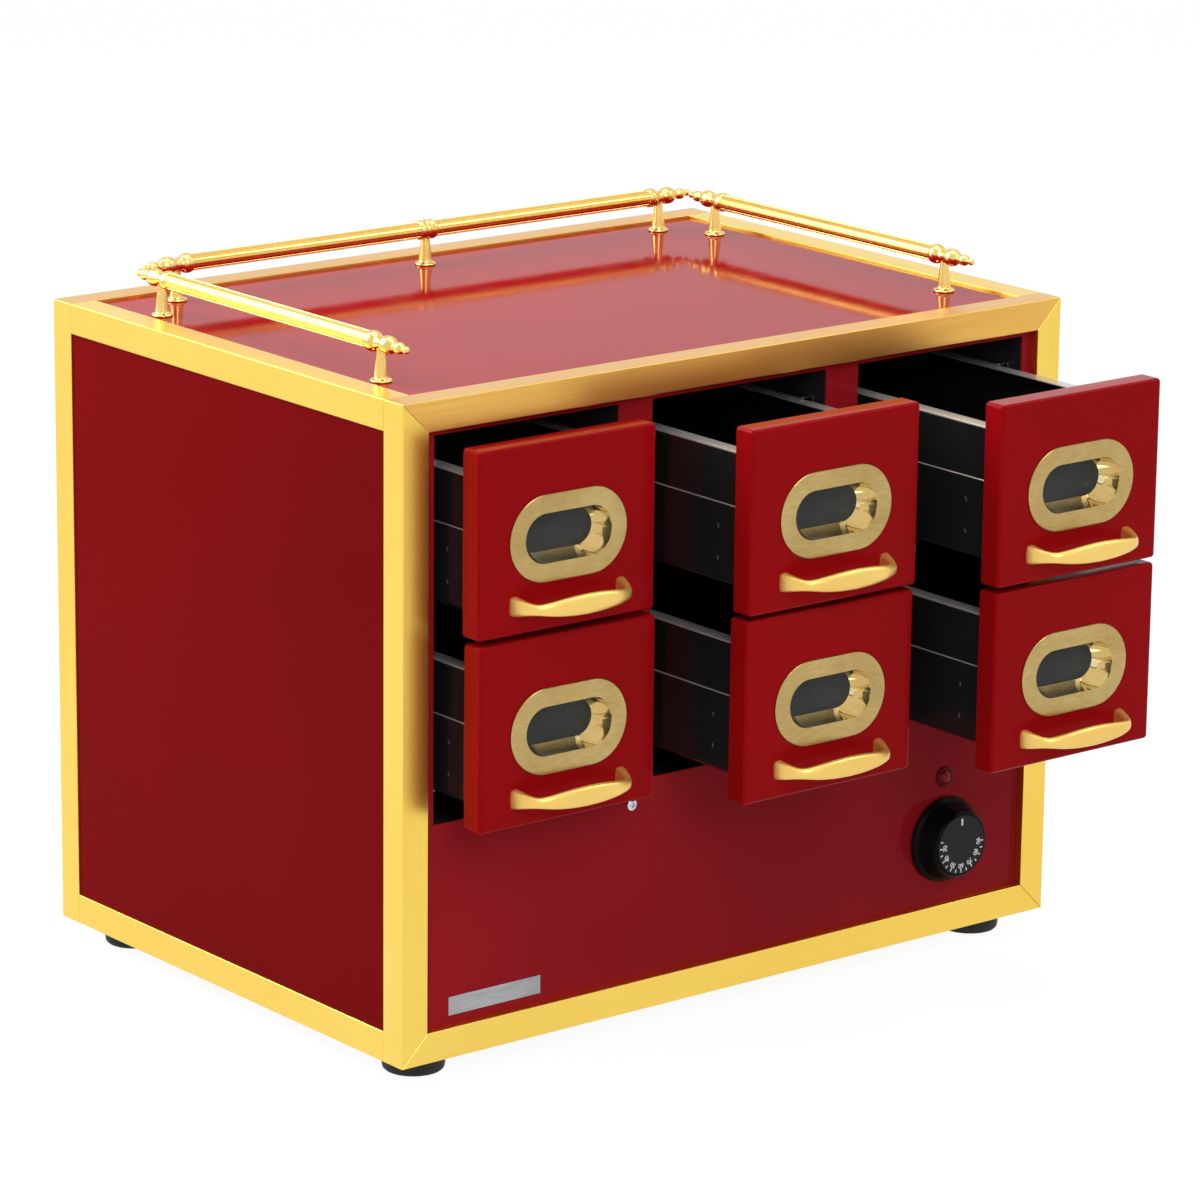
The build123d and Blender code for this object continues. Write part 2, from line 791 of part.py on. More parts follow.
def end_post(place, outward):
    """A post whose head is a waist with a ring that holds the rail's end."""
    profile = [
        (0, -post_ring_start), (post_ring_radius - post_ring_chamfer / 2, -post_ring_start),
        (post_ring_radius, post_ring_chamfer - post_ring_start), (post_ring_radius, -post_ring_end),
        (post_waist_radius, -post_waist_start), (post_waist_radius, post_waist_end), (0, post_waist_end),
    ]
    centre = Vector(place[0], place[1], rail_z)
    body = turned(profile, place, outward) + post_column(place, rail_z - post_waist_radius / 2)
    return body - rod(rail_radius + close_gap, centre - outward * (post_ring_start + fit_gap),
                      centre - outward * (rail_end - close_gap))


def middle_post(place, along):
    """A post with a collar round the rail."""
    centre = Vector(place[0], place[1], rail_z)
    half = along * (post_collar_length / 2)
    body = rod(post_collar_radius, centre - half, centre + half) + post_column(place, rail_z - rail_radius)
    return body - rod(rail_radius + close_gap, centre - 2 * half, centre + 2 * half)


def finial(place, outward):
    """A turned end piece: bell, neck, bead, stem and tip."""
    neck_end = finial_bead_place - finial_bead_radius / 2
    profile = [
        (0, post_waist_end), (post_waist_radius, post_waist_end), (finial_bell_radius, finial_bell_start),
        (finial_bell_radius, finial_bell_end), (finial_neck_radius, finial_neck_start),
        (finial_neck_radius, neck_end), (0, neck_end),
    ]
    x, y = place
    centre = Vector(x, y, rail_z)
    tip = centre + outward * (finial_overhang - finial_tip_radius)
    bead = centre + outward * finial_bead_place
    body = turned(profile, place, outward) + Pos(bead) * Sphere(finial_bead_radius)
    return body + rod(finial_stem_radius, bead, tip) + Pos(tip) * Sphere(finial_tip_radius)


def gallery():
    """The rails, posts and finials of the gallery."""
    tubes, posts, finials = [], [], []
    for first, last, between in rail_runs():
        start = Vector(first[0], first[1], rail_z)
        end = Vector(last[0], last[1], rail_z)
        along = (end - start).normalized()
        tubes.append(fluted_tube(tuple(start + along * rail_end), tuple(end - along * rail_end)))
        posts += [end_post(first, along * -1), end_post(last, along)]
        posts += [middle_post(place, along) for place in between]
        finials += [finial(first, along * -1), finial(last, along)]
    return tubes, posts, finials


def cable_gland():
    """The gland in the back panel, bored for a cable."""
    x, z = gland_x, gland_z
    hexagon = RegularPolygon(gland_hex / 2, 6, major_radius=False)
    body = extrude(Plane((x, back_face, z), z_dir=(0, 1, 0)) * hexagon, gland_hex_thickness)
    dome_start = back_face + gland_hex_thickness
    body += Plane((x, dome_start, z), z_dir=(0, 1, 0)) * Cone(
        gland_hex / 2 - gland_dome_step, gland_bore_radius + gland_lip, gland_dome_length,
        align=(Align.CENTER, Align.CENTER, Align.MIN))
    inner_end = back_inner - gland_inner_length
    body += rod(gland_thread_radius, (x, inner_end, z), (x, back_face, z))
    body -= rod(gland_bore_radius, (x, inner_end, z), (x, dome_start + gland_dome_length, z))
    nut_face = back_inner - gland_hex_thickness
    nut = extrude(Plane((x, nut_face, z), z_dir=(0, 1, 0)) * hexagon, gland_hex_thickness)
    nut -= rod(gland_thread_radius + close_gap, (x, nut_face, z), (x, back_inner, z))
    return [body, nut]


def terminal_block():
    """A three-way terminal block on the base panel."""
    x = (gland_x - terminal_width / 2, gland_x + terminal_width / 2)
    low = frame_bottom + sheet
    body = block(x, (terminal_y, terminal_y + terminal_depth), (low, low + terminal_height))
    pitch = terminal_width / terminal_ways
    middle = terminal_y + terminal_depth / 2
    for count in range(terminal_ways):
        way = x[0] + (count + 0.5) * pitch
        body -= rod(terminal_bore_radius, (way, middle, low + terminal_height / 2),
                    (way, middle, low + terminal_height))
    return body


def wiring_harness():
    """Wires between the terminals, the thermostat, the lamp and the heater."""
    half, near, far = heater_lines()
    way = terminal_width / terminal_ways
    low = frame_bottom + sheet + terminal_height / 2
    levels = [low + step * wire_spacing for step in (-1, 0, 1)]
    box_back = face_back + thermostat_depth
    box_side = knob_x - thermostat_width / 2
    lamp_end = face_recess + lamp_barrel_length
    pin = half + heater_pin_length
    line = pin + 2 * wire_bend
    supply_x = box_side + wire_bend
    lamp_x = box_side - wire_bend
    supply_z = knob_z - wire_bend
    load_x = knob_x + wire_bend
    turns = [terminal_y - lead for lead in wire_leads]
    box_turn = box_back + thermostat_lead
    lamp_turn = lamp_end + lamp_lead
    routes = [
        [(gland_x - way, terminal_y, levels[0]), (gland_x - way, turns[0], levels[0]),
         (supply_x, turns[0], levels[0]), (supply_x, box_turn, levels[0]),
         (supply_x, box_turn, supply_z), (supply_x, box_back, supply_z)],
        [(gland_x, terminal_y, levels[1]), (gland_x, turns[1], levels[1]), (line, turns[1], levels[1]),
         (line, far, levels[1]), (line, far, heater_z), (pin, far, heater_z)],
        [(load_x, box_back, knob_z), (load_x, near, knob_z), (line, near, knob_z),
         (line, near, heater_z), (pin, near, heater_z)],
        [(gland_x + way, terminal_y, levels[2]), (gland_x + way, turns[2], levels[2]),
         (lamp_x, turns[2], levels[2]), (lamp_x, lamp_turn, levels[2]), (lamp_x, lamp_turn, lamp_z),
         (knob_x, lamp_turn, lamp_z), (knob_x, lamp_end, lamp_z)],
    ]
    return [wire(wire_radius, route, wire_corner_radius) for route in routes]


def panel_screw(place, y, outward, shank_length):
    """A pan-head screw whose head sits on a panel at y."""
    x, z = place
    head = rod(face_screw_radius, (x, y, z), (x, y + outward * face_screw_height, z))
    return head + rod(shank_radius, (x, y - outward * shank_length, z), (x, y, z))


def cabinet_screws():
    screws = [panel_screw(place, face_recess, -1, back_screw_length) for place in face_screw_places()]
    screws += [panel_screw(place, back_face, 1, back_screw_length) for place in back_screw_places()]
    return screws + [foot_screw(x, y) for x, y in foot_places()]


save("frame_front_surround", surround())
save("frame_back_surround", [Pos(0, inner_back, 0) * piece for piece in surround()])
save("frame_side_rails", side_rails())
save("top_panel", [top_panel()])
save("side_panel_left", [side_panel(-1)])
save("side_panel_right", [side_panel(1)])
save("back_panel", [back_panel()])
save("base_panel", [base_panel()])
save("foot_pads", [foot(x, y) for x, y in foot_places()])
save("front_grid", [front_grid()])
save("control_panel", [control_panel()])
save("inner_casing", [inner_casing()])
save("drawer_dividers", [divider(side) for side in (-1, 1)])

runners = []
for column, column_name in enumerate(columns):
    for row, row_name in enumerate(rows):
        place = f"{row_name}_{column_name}"
        pull = pulls[column][row]
        save(f"drawer_front_{place}", [drawer_front(column, row)])
        save(f"window_bezel_{place}", [bezel(column, row)])
        save(f"window_pane_{place}", [pane(column, row)])
        save(f"handle_{place}", [handle(column, row)] + handle_screws(column, row))
        screws = [tray_screw(at, pull) for at in tray_screw_places(column, row)]
        save(f"tray_{place}", [tray(column, row)] + screws + tray_rivets(column, row))
        runners += [runner(column, row, side) for side in (-1, 1)]

save("drawer_runners", runners)
save("heat_plate", [heat_plate()])
save("heating_element", heating_element())
save("element_clips", element_clips())
save("thermostat_body", thermostat_body())
save("thermostat_spindle", [spindle()])
save("thermostat_knob", [knob()])
save("indicator_lamp", indicator_lamp())
save("nameplate", [nameplate()])
rails, rail_posts, rail_ends = gallery()
save("gallery_tubes", rails)
save("gallery_posts", rail_posts)
save("gallery_finials", rail_ends)
save("cable_gland", cable_gland())
save("terminal_block", [terminal_block()])
save("wiring_harness", wiring_harness())
save("cabinet_screws", cabinet_screws())
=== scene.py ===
import bmesh
import bpy
from math import cos, pi, radians, sin
from mathutils import Matrix, Vector


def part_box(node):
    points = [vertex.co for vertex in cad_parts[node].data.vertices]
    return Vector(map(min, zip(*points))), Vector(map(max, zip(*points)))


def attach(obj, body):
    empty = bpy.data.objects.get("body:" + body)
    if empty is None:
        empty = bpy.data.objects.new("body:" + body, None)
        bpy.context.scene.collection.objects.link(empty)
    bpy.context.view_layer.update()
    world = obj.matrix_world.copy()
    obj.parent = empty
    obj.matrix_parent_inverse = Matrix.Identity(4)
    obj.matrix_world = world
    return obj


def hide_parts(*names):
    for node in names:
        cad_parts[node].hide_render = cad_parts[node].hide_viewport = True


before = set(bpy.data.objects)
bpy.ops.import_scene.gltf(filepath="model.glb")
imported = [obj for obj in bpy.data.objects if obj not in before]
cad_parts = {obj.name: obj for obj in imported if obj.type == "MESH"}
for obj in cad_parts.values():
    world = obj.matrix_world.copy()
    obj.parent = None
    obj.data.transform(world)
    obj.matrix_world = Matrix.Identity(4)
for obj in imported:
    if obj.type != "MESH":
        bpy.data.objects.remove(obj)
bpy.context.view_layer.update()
print("frame loaded with", len(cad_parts), "nodes")


def tint(red, green, blue):
    # a screen colour in 0 to 255, as the linear colour that the shader wants
    def straight(value):
        value /= 255
        return value / 12.92 if value <= 0.04045 else ((value + 0.055) / 1.055) ** 2.4
    return (straight(red), straight(green), straight(blue), 1.0)


def addObject(name, data):
    piece = bpy.data.objects.new(name, data)
    bpy.context.scene.collection.objects.link(piece)
    return piece


def evaluatedMesh(piece):
    bpy.context.view_layer.update()
    evaluated = piece.evaluated_get(bpy.context.evaluated_depsgraph_get())
    return bpy.data.meshes.new_from_object(evaluated)


def freeze(piece):
    # what the modifiers make becomes the piece's plain mesh
    mesh = evaluatedMesh(piece)
    piece.modifiers.clear()
    piece.data = mesh


def addNode(tree, kind, **settings):
    node = tree.nodes.new(kind)
    for key, value in settings.items():
        setattr(node, key, value)
    return node


def joinUp(tree, *pairs):
    for source, target in pairs:
        tree.links.new(source, target)


def feed(tree, value, socket):
    # a plain number is set on the socket, and an output is linked to it
    if isinstance(value, (int, float)):
        socket.default_value = value
    else:
        tree.links.new(value, socket)


def addSockets(tree, direction, sockets):
    for label, kind, *value in sockets:
        socket = tree.interface.new_socket(name=label, in_out=direction, socket_type="NodeSocket" + kind)
        if value:
            socket.default_value = value[0]


def newGroup(name, inputs):
    # each group reads the object's own coordinates and gives a colour, a roughness and a normal
    tree = bpy.data.node_groups.new(name, "ShaderNodeTree")
    addSockets(tree, "INPUT", inputs)
    addSockets(tree, "OUTPUT", [("Color", "Color"), ("Roughness", "Float"), ("Normal", "Vector")])
    given, out = addNode(tree, "NodeGroupInput").outputs, addNode(tree, "NodeGroupOutput").inputs
    return tree, given, out, addNode(tree, "ShaderNodeTexCoord").outputs["Object"]


def calculate(tree, operation, *values):
    node = addNode(tree, "ShaderNodeMath", operation=operation)
    for value, socket in zip(values, node.inputs):
        feed(tree, value, socket)
    return node.outputs[0]


def rescale(tree, source, fromRange, toRange):
    node = addNode(tree, "ShaderNodeMapRange")
    for label, value in zip(("From Min", "From Max", "To Min", "To Max"), (*fromRange, *toRange)):
        node.inputs[label].default_value = value
    tree.links.new(source, node.inputs["Value"])
    return node.outputs["Result"]


def noiseNode(tree, vector, scale, detail, roughness=0.5):
    node = addNode(tree, "ShaderNodeTexNoise")
    tree.links.new(vector, node.inputs["Vector"])
    for label, value in (("Scale", scale), ("Detail", detail), ("Roughness", roughness)):
        feed(tree, value, node.inputs[label])
    return node.outputs["Fac"]


def mixColours(tree, factor, first, second):
    node = addNode(tree, "ShaderNodeMix", data_type="RGBA")
    joinUp(tree, (factor, node.inputs["Factor"]), (first, node.inputs[6]), (second, node.inputs[7]))
    return node.outputs[2]


def bumped(tree, height, strength, distance):
    node = addNode(tree, "ShaderNodeBump")
    node.inputs["Distance"].default_value = distance
    joinUp(tree, (height, node.inputs["Height"]), (strength, node.inputs["Strength"]))
    return node.outputs["Normal"]


paintPatches = {"scale": 38.0, "detail": 4, "rough": 0.65, "dull": (-0.02, 0.03), "peelHeight": 0.0006}
grainMix = {"streaks": 0.45, "cloud": 0.55, "spread": (0.36, 0.66), "height": 0.0002}
dustPatches = {"scale": 26.0, "detail": 5, "rough": 0.6, "spread": (0.42, 0.75), "dull": 0.25,
               "pitHeight": 0.0002}
noiseMiddle = (0.3, 0.7)                     # where most of a noise lies


def buildPaintFilm():
    # sprayed gloss paint: slow drift of the colour, a faint orange peel and a few dull patches
    tree, given, out, where = newGroup("paint film", [
        ("Paint", "Color", (0.3, 0.01, 0.01, 1)), ("Deep", "Color", (0.2, 0.01, 0.01, 1)),
        ("Drift Scale", "Float", 6.0), ("Peel Scale", "Float", 420.0), ("Peel Depth", "Float", 0.04),
        ("Roughness", "Float", 0.12)])
    patch = paintPatches
    drift = noiseNode(tree, where, given["Drift Scale"], 3)
    peel = noiseNode(tree, where, given["Peel Scale"], 2)
    colour = mixColours(tree, rescale(tree, drift, noiseMiddle, (0, 1)), given["Paint"], given["Deep"])
    patches = noiseNode(tree, where, patch["scale"], patch["detail"], patch["rough"])
    dull = rescale(tree, patches, noiseMiddle, patch["dull"])
    joinUp(tree, (colour, out["Color"]),
           (calculate(tree, "ADD", given["Roughness"], dull), out["Roughness"]),
           (bumped(tree, peel, given["Peel Depth"], patch["peelHeight"]), out["Normal"]))
    return tree


def buildMetalGrain():
    # drawn or brushed metal: streaks that run where Stretch is small, and a slow cloud over them
    tree, given, out, where = newGroup("metal grain", [
        ("Metal", "Color", (0.9, 0.7, 0.3, 1)), ("Shade", "Color", (0.7, 0.5, 0.2, 1)),
        ("Stretch", "Vector", (1.0, 1.0, 1.0)), ("Grain Scale", "Float", 900.0),
        ("Grain Depth", "Float", 0.1), ("Cloud Scale", "Float", 14.0), ("Roughness", "Float", 0.3),
        ("Roughness Spread", "Float", 0.06)])
    pulled = addNode(tree, "ShaderNodeVectorMath", operation="MULTIPLY")
    joinUp(tree, (where, pulled.inputs[0]), (given["Stretch"], pulled.inputs[1]))
    streaks = noiseNode(tree, pulled.outputs[0], given["Grain Scale"], 4, 0.6)
    cloud = noiseNode(tree, where, given["Cloud Scale"], 3, 0.55)
    both = calculate(tree, "ADD", calculate(tree, "MULTIPLY", streaks, grainMix["streaks"]),
                     calculate(tree, "MULTIPLY", cloud, grainMix["cloud"]))
    shade = rescale(tree, both, grainMix["spread"], (0, 1))
    colour = mixColours(tree, shade, given["Metal"], given["Shade"])
    wander = calculate(tree, "MULTIPLY", rescale(tree, streaks, noiseMiddle, (-1, 1)),
                       given["Roughness Spread"])
    joinUp(tree, (colour, out["Color"]),
           (calculate(tree, "ADD", given["Roughness"], wander), out["Roughness"]),
           (bumped(tree, streaks, given["Grain Depth"], grainMix["height"]), out["Normal"]))
    return tree


def buildMouldedSkin():
    # moulded plastic, rubber and dull coatings: fine pits, a soft change of tone and settled dust
    tree, given, out, where = newGroup("moulded skin", [
        ("Body", "Color", (0.03, 0.03, 0.03, 1)), ("Dust", "Color", (0.1, 0.1, 0.1, 1)),
        ("Dust Amount", "Float", 0.2), ("Pit Scale", "Float", 1200.0), ("Pit Depth", "Float", 0.1),
        ("Roughness", "Float", 0.5)])
    patch = dustPatches
    pits = noiseNode(tree, where, given["Pit Scale"], 3, 0.6)
    settled = noiseNode(tree, where, patch["scale"], patch["detail"], patch["rough"])
    share = rescale(tree, settled, patch["spread"], (0, 1))
    dusty = calculate(tree, "MULTIPLY", share, given["Dust Amount"])
    rough = calculate(tree, "ADD", given["Roughness"], calculate(tree, "MULTIPLY", dusty, patch["dull"]))
    joinUp(tree, (mixColours(tree, dusty, given["Body"], given["Dust"]), out["Color"]),
           (rough, out["Roughness"]),
           (bumped(tree, pits, given["Pit Depth"], patch["pitHeight"]), out["Normal"]))
    return tree


paintFilm = buildPaintFilm()
metalGrain = buildMetalGrain()
mouldedSkin = buildMouldedSkin()


def finish(name, group, values, settings):
    material = bpy.data.materials.new(name)
    material.use_nodes = True
    tree = material.node_tree
    shader = tree.nodes["Principled BSDF"]
    placed = addNode(tree, "ShaderNodeGroup", node_tree=group)
    for label, value in values.items():
        placed.inputs[label].default_value = value
    for source, target in (("Color", "Base Color"), ("Roughness", "Roughness"), ("Normal", "Normal")):
        tree.links.new(placed.outputs[source], shader.inputs[target])
    for label, value in settings.items():
        shader.inputs[label].default_value = value
    return material


def metalFinish(name, light, dark, values, metallic=1.0, specular=0.5):
    return finish(name, metalGrain, {"Metal": tint(*light), "Shade": tint(*dark), **values},
                  {"Metallic": metallic, "Specular IOR Level": specular})


def paintFinish(name, light, dark, values, bend):
    # a low IOR and a red shine keep the paint from turning white where it is seen edge on
    return finish(name, paintFilm, {"Paint": tint(*light), "Deep": tint(*dark), **values},
                  {"IOR": bend, "Specular IOR Level": 0.2, "Specular Tint": (1.0, 0.1, 0.12, 1.0)})


def mouldedFinish(name, body, dust, values, specular=0.5):
    return finish(name, mouldedSkin, {"Body": tint(*body), "Dust": tint(*dust), **values},
                  {"Specular IOR Level": specular})


goldGrain = {"Grain Depth": 0.006, "Grain Scale": 700.0, "Cloud Scale": 5.0, "Roughness": 0.3,
             "Roughness Spread": 0.02}
alongAxis = {"x": (0.02, 1.0, 1.0), "y": (1.0, 0.02, 1.0), "z": (1.0, 1.0, 0.02)}
goldAlong = {
    axis: metalFinish(f"gold anodised along {axis}", (245, 211, 101), (241, 201, 87),
                      {**goldGrain, "Stretch": stretch}) for axis, stretch in alongAxis.items()}
# a darker copy of the same anodised gold for the top bars: painted shade standing in for the dark
# reflections of the boards in the front top bar
goldTopPaintedShade = metalFinish("gold anodised top bar", (233, 184, 94), (220, 168, 82), {
    **goldGrain, "Stretch": alongAxis["x"]})
goldPlate = metalFinish("polished gold plate", (242, 208, 130), (232, 192, 108), {
    "Grain Depth": 0.003, "Grain Scale": 300.0, "Roughness": 0.15, "Roughness Spread": 0.02})
goldSatin = metalFinish("satin gold casting", (244, 208, 116), (234, 192, 98), {
    "Grain Depth": 0.012, "Grain Scale": 1400.0, "Roughness": 0.34, "Roughness Spread": 0.04}, 0.75)
brassFace = metalFinish("brushed brass face", (192, 168, 110), (172, 144, 88), {
    "Stretch": (0.2, 1.0, 1.0), "Grain Scale": 620.0, "Grain Depth": 0.008, "Cloud Scale": 24.0,
    "Roughness": 0.24, "Roughness Spread": 0.03})
brassMirror = metalFinish("mirror brass reveal", (234, 218, 178), (222, 202, 156), {
    "Grain Depth": 0.001, "Grain Scale": 260.0, "Roughness": 0.07, "Roughness Spread": 0.02})
# one red enamel in three copies: the top as the base, the sides much darker as painted shade, and the
# front with more green and blue as a painted sheen
redEnamel = paintFinish("red enamel top", (146, 13, 22), (138, 12, 20), {
    "Drift Scale": 5.0, "Peel Depth": 0.02, "Roughness": 0.07}, 1.2)
redSidePaintedShade = paintFinish("red enamel side", (107, 8, 11), (100, 7, 10), {
    "Drift Scale": 4.0, "Peel Depth": 0.015, "Roughness": 0.16}, 1.1)
redFrontPaintedSheen = paintFinish("red enamel front", (145, 23, 31), (135, 21, 28), {
    "Drift Scale": 5.0, "Peel Depth": 0.02, "Roughness": 0.08}, 1.3)
redLacquer = paintFinish("red lacquer", (144, 11, 15), (137, 10, 14), {
    "Drift Scale": 9.0, "Peel Scale": 300.0, "Peel Depth": 0.02, "Roughness": 0.1}, 1.25)
darkSheet = mouldedFinish("heat proof black sheet", (13, 12, 12), (26, 24, 23), {
    "Dust Amount": 0.35, "Roughness": 0.4, "Pit Depth": 0.1}, 0.08)
# a lighter copy of the same black sheet for the inside: painted light that lifts the deep shade in the
# drawer bays
innerSheetPaintedLight = mouldedFinish("inner black sheet", (38, 35, 35), (46, 43, 42), {
    "Dust Amount": 0.4, "Roughness": 0.42, "Pit Depth": 0.06}, 0.12)
sheetGrain = {"Stretch": (1.0, 0.03, 1.0), "Grain Scale": 900.0, "Grain Depth": 0.01}
# the tray steel is toned far darker than polished stainless: painted shade for the trays sitting in the
# dark drawer bays
stainless = metalFinish("polished stainless sheet", (70, 69, 70), (58, 57, 58), {
    **sheetGrain, "Roughness": 0.16, "Roughness Spread": 0.03}, 0.8, 0.1)
# a much lighter copy of the same tray steel for the rim and the ledge: a painted highlight where those
# edges catch the light
paintedHighlightRim = metalFinish("bright stainless rim", (206, 204, 202), (184, 182, 180), {
    **sheetGrain, "Roughness": 0.24}, 0.6)
zincSteel = metalFinish("zinc plated steel", (214, 214, 216), (188, 190, 196), {
    "Grain Scale": 500.0, "Grain Depth": 0.05, "Roughness": 0.22})
heatAluminium = metalFinish("mill finish aluminium", (206, 207, 210), (184, 185, 190), {
    "Stretch": (0.04, 1.0, 1.0), "Roughness": 0.34})
heaterSteel = metalFinish("heat darkened sheath", (120, 112, 104), (92, 80, 76), {
    "Grain Scale": 400.0, "Cloud Scale": 30.0, "Roughness": 0.45})
plateSilver = metalFinish("brushed plate", (172, 172, 174), (120, 120, 124), {
    "Stretch": (0.03, 1.0, 1.0), "Grain Scale": 1500.0, "Grain Depth": 0.06, "Roughness": 0.3})
smokedGlass = mouldedFinish("smoked glass", (50, 52, 52), (62, 64, 64), {
    "Dust Amount": 0.6, "Pit Depth": 0.0, "Roughness": 0.2}, 0.12)
knobPlastic = mouldedFinish("gloss black plastic", (12, 12, 13), (24, 24, 25), {
    "Dust Amount": 0.25, "Pit Scale": 700.0, "Pit Depth": 0.02, "Roughness": 0.24}, 0.04)
dialPlastic = mouldedFinish("dial face", (34, 34, 35), (42, 42, 43), {
    "Dust Amount": 0.3, "Pit Depth": 0.08, "Roughness": 0.45}, 0.12)
dialPrint = mouldedFinish("dial print", (226, 226, 224), (190, 190, 188), {
    "Dust Amount": 0.3, "Pit Depth": 0.03, "Roughness": 0.5})
darkPlastic = mouldedFinish("matt black plastic", (24, 24, 25), (60, 58, 55), {
    "Dust Amount": 0.3, "Pit Depth": 0.15, "Roughness": 0.55}, 0.4)
footRubber = mouldedFinish("foot rubber", (17, 17, 18), (58, 56, 54), {
    "Dust Amount": 0.4, "Pit Scale": 800.0, "Pit Depth": 0.3, "Roughness": 0.62}, 0.35)
lampRing = mouldedFinish("lamp ring", (92, 14, 22), (78, 12, 18), {
    "Dust Amount": 0.4, "Pit Depth": 0.02, "Roughness": 0.3}, 0.06)
lampLens = mouldedFinish("lamp lens", (138, 12, 24), (98, 8, 16), {
    "Dust Amount": 0.9, "Pit Depth": 0.05, "Roughness": 0.2}, 0.12)
wireSleeve = mouldedFinish("wire sleeve", (120, 116, 108), (90, 86, 80), {
    "Dust Amount": 0.5, "Pit Depth": 0.3, "Roughness": 0.7})
print("finishes made:", len(bpy.data.materials))


def newShape():
    return {"points": [], "faces": [], "slots": []}


def addLoops(shape, loops, slot=0, bands=None, ring=False):
    # skins a row of loops that have equal counts, and closes both ends unless the row is a ring
    first, count, total = len(shape["points"]), len(loops[0]), len(loops)
    for loop in loops:
        shape["points"] += [tuple(point) for point in loop]
    for band in range(total if ring else total - 1):
        low, high = first + band * count, first + (band + 1) % total * count
        for here in range(count):
            there = (here + 1) % count
            shape["faces"].append((low + here, low + there, high + there, high + here))
            shape["slots"].append(bands[band] if bands else slot)
    if not ring:
        last = first + (total - 1) * count
        shape["faces"] += [tuple(range(first, first + count)), tuple(range(last, last + count))]
        shape["slots"] += [slot, slot]


def addBlock(shape, low, high):
    corners = [(low[0], low[1]), (high[0], low[1]), (high[0], high[1]), (low[0], high[1])]
    addLoops(shape, [[(x, y, z) for x, y in corners] for z in (low[2], high[2])])


def outline(width, height, radius, steps=8):
    # a rounded rectangle about the origin; with half the height as radius it is a slot
    points = []
    for corner in range(4):
        across = (width / 2 - radius) * (1 if corner in (0, 3) else -1)
        up = (height / 2 - radius) * (1 if corner in (0, 1) else -1)
        for step in range(steps + 1):
            angle = radians(90 * (corner + step / steps))
            points.append((across + radius * cos(angle), up + radius * sin(angle)))
    return points


def smoothRun(stations, steps):
    # a smooth curve through stations of any length
    stations = [tuple(station) for station in stations]
    padded = [stations[0]] + stations + [stations[-1]]
    run = []
    for k in range(1, len(padded) - 2):
        around = list(zip(*padded[k - 1:k + 3]))
        for step in range(steps):
            t = step / steps
            run.append(tuple(
                0.5 * (2 * q + (r - p) * t + (2 * p - 5 * q + 4 * r - s) * t * t
                       + (3 * q - p - 3 * r + s) * t ** 3) for p, q, r, s in around))
    return run + [stations[-1]]


def mm(*pairs):
    # a profile given in millimetres
    return [(across / 1000, along / 1000) for across, along in pairs]


def turnedLoops(profile, origin, axis, segments=48):
    # a lathe: each pair is a radius and how far along the axis it lies
    turn = Vector((0, 0, 1)).rotation_difference(Vector(axis)).to_matrix()
    angles = [2 * pi * k / segments for k in range(segments)]
    return [[Vector(origin) + turn @ Vector((radius * cos(angle), radius * sin(angle), along))
             for angle in angles] for radius, along in profile]


easedEdge = {"segments": 2, "angle": 38, "sharpAngle": 120, "weight": 80}


def settle(piece, crease=35, bevel=0.0, weighted=True):
    # softens the edges, turns the modifiers into plain mesh and keeps flat faces flat in the light
    if bevel:
        edge = piece.modifiers.new("edges", "BEVEL")
        edge.width = bevel
        edge.segments = easedEdge["segments"]
        edge.limit_method = "ANGLE"
        edge.angle_limit = radians(easedEdge["angle"])
        edge.use_clamp_overlap = True
    piece.data.shade_smooth()
    piece.data.set_sharp_from_angle(angle=radians(easedEdge["sharpAngle"] if bevel else crease))
    if weighted:
        even = piece.modifiers.new("normals", "WEIGHTED_NORMAL")
        even.keep_sharp = True
        even.weight = easedEdge["weight"]
    if piece.modifiers:
        freeze(piece)
    piece.data.name = piece.name
    return piece


def makePiece(name, shape, materials, crease=35, bevel=0.0, weighted=True, merged=True):
    # unmerged bars keep their own corners, so a seam shows where they touch
    mesh = bpy.data.meshes.new(name)
    mesh.from_pydata(shape["points"], [], shape["faces"])
    for material in materials:
        mesh.materials.append(material)
    mesh.polygons.foreach_set("material_index", shape["slots"])
    work = bmesh.new()
    work.from_mesh(mesh)
    if merged:
        bmesh.ops.remove_doubles(work, verts=work.verts, dist=1e-6)
        bmesh.ops.dissolve_degenerate(work, edges=work.edges, dist=1e-7)
    bmesh.ops.recalc_face_normals(work, faces=work.faces)
    work.to_mesh(mesh)
    work.free()
    return settle(addObject(name, mesh), crease, bevel, weighted)


def softened(node, name, material, bevel):
    # a merged copy of a sheet or block from the frame, with its edges eased
    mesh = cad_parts[node].data.copy()
    mesh.materials.clear()
    mesh.materials.append(material)
    work = bmesh.new()
    work.from_mesh(mesh)
    for face in work.faces:
        face.material_index = 0
    bmesh.ops.remove_doubles(work, verts=work.verts, dist=1e-6)
    bmesh.ops.dissolve_limit(work, angle_limit=radians(0.4), verts=work.verts, edges=work.edges)
    work.to_mesh(mesh)
    work.free()
    return settle(addObject(name, mesh), bevel=bevel)


def mount(piece, body, slot, *nodes):
    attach(piece, body)
    if nodes:
        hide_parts(*nodes)
    return piece


def newTree(name, inputs):
    tree = bpy.data.node_groups.new(name, "GeometryNodeTree")
    addSockets(tree, "INPUT", [("Geometry", "Geometry"), *inputs])
    addSockets(tree, "OUTPUT", [("Geometry", "Geometry")])
    return tree, addNode(tree, "NodeGroupInput").outputs, addNode(tree, "NodeGroupOutput").inputs


def endTree(tree, geometry, given, out):
    # copies become real mesh, and then take the finish
    real = addNode(tree, "GeometryNodeRealizeInstances")
    paint = addNode(tree, "GeometryNodeSetMaterial")
    joinUp(tree, (geometry, real.inputs["Geometry"]),
           (real.outputs["Geometry"], paint.inputs["Geometry"]),
           (given["Finish"], paint.inputs["Material"]),
           (paint.outputs["Geometry"], out["Geometry"]))
    return tree


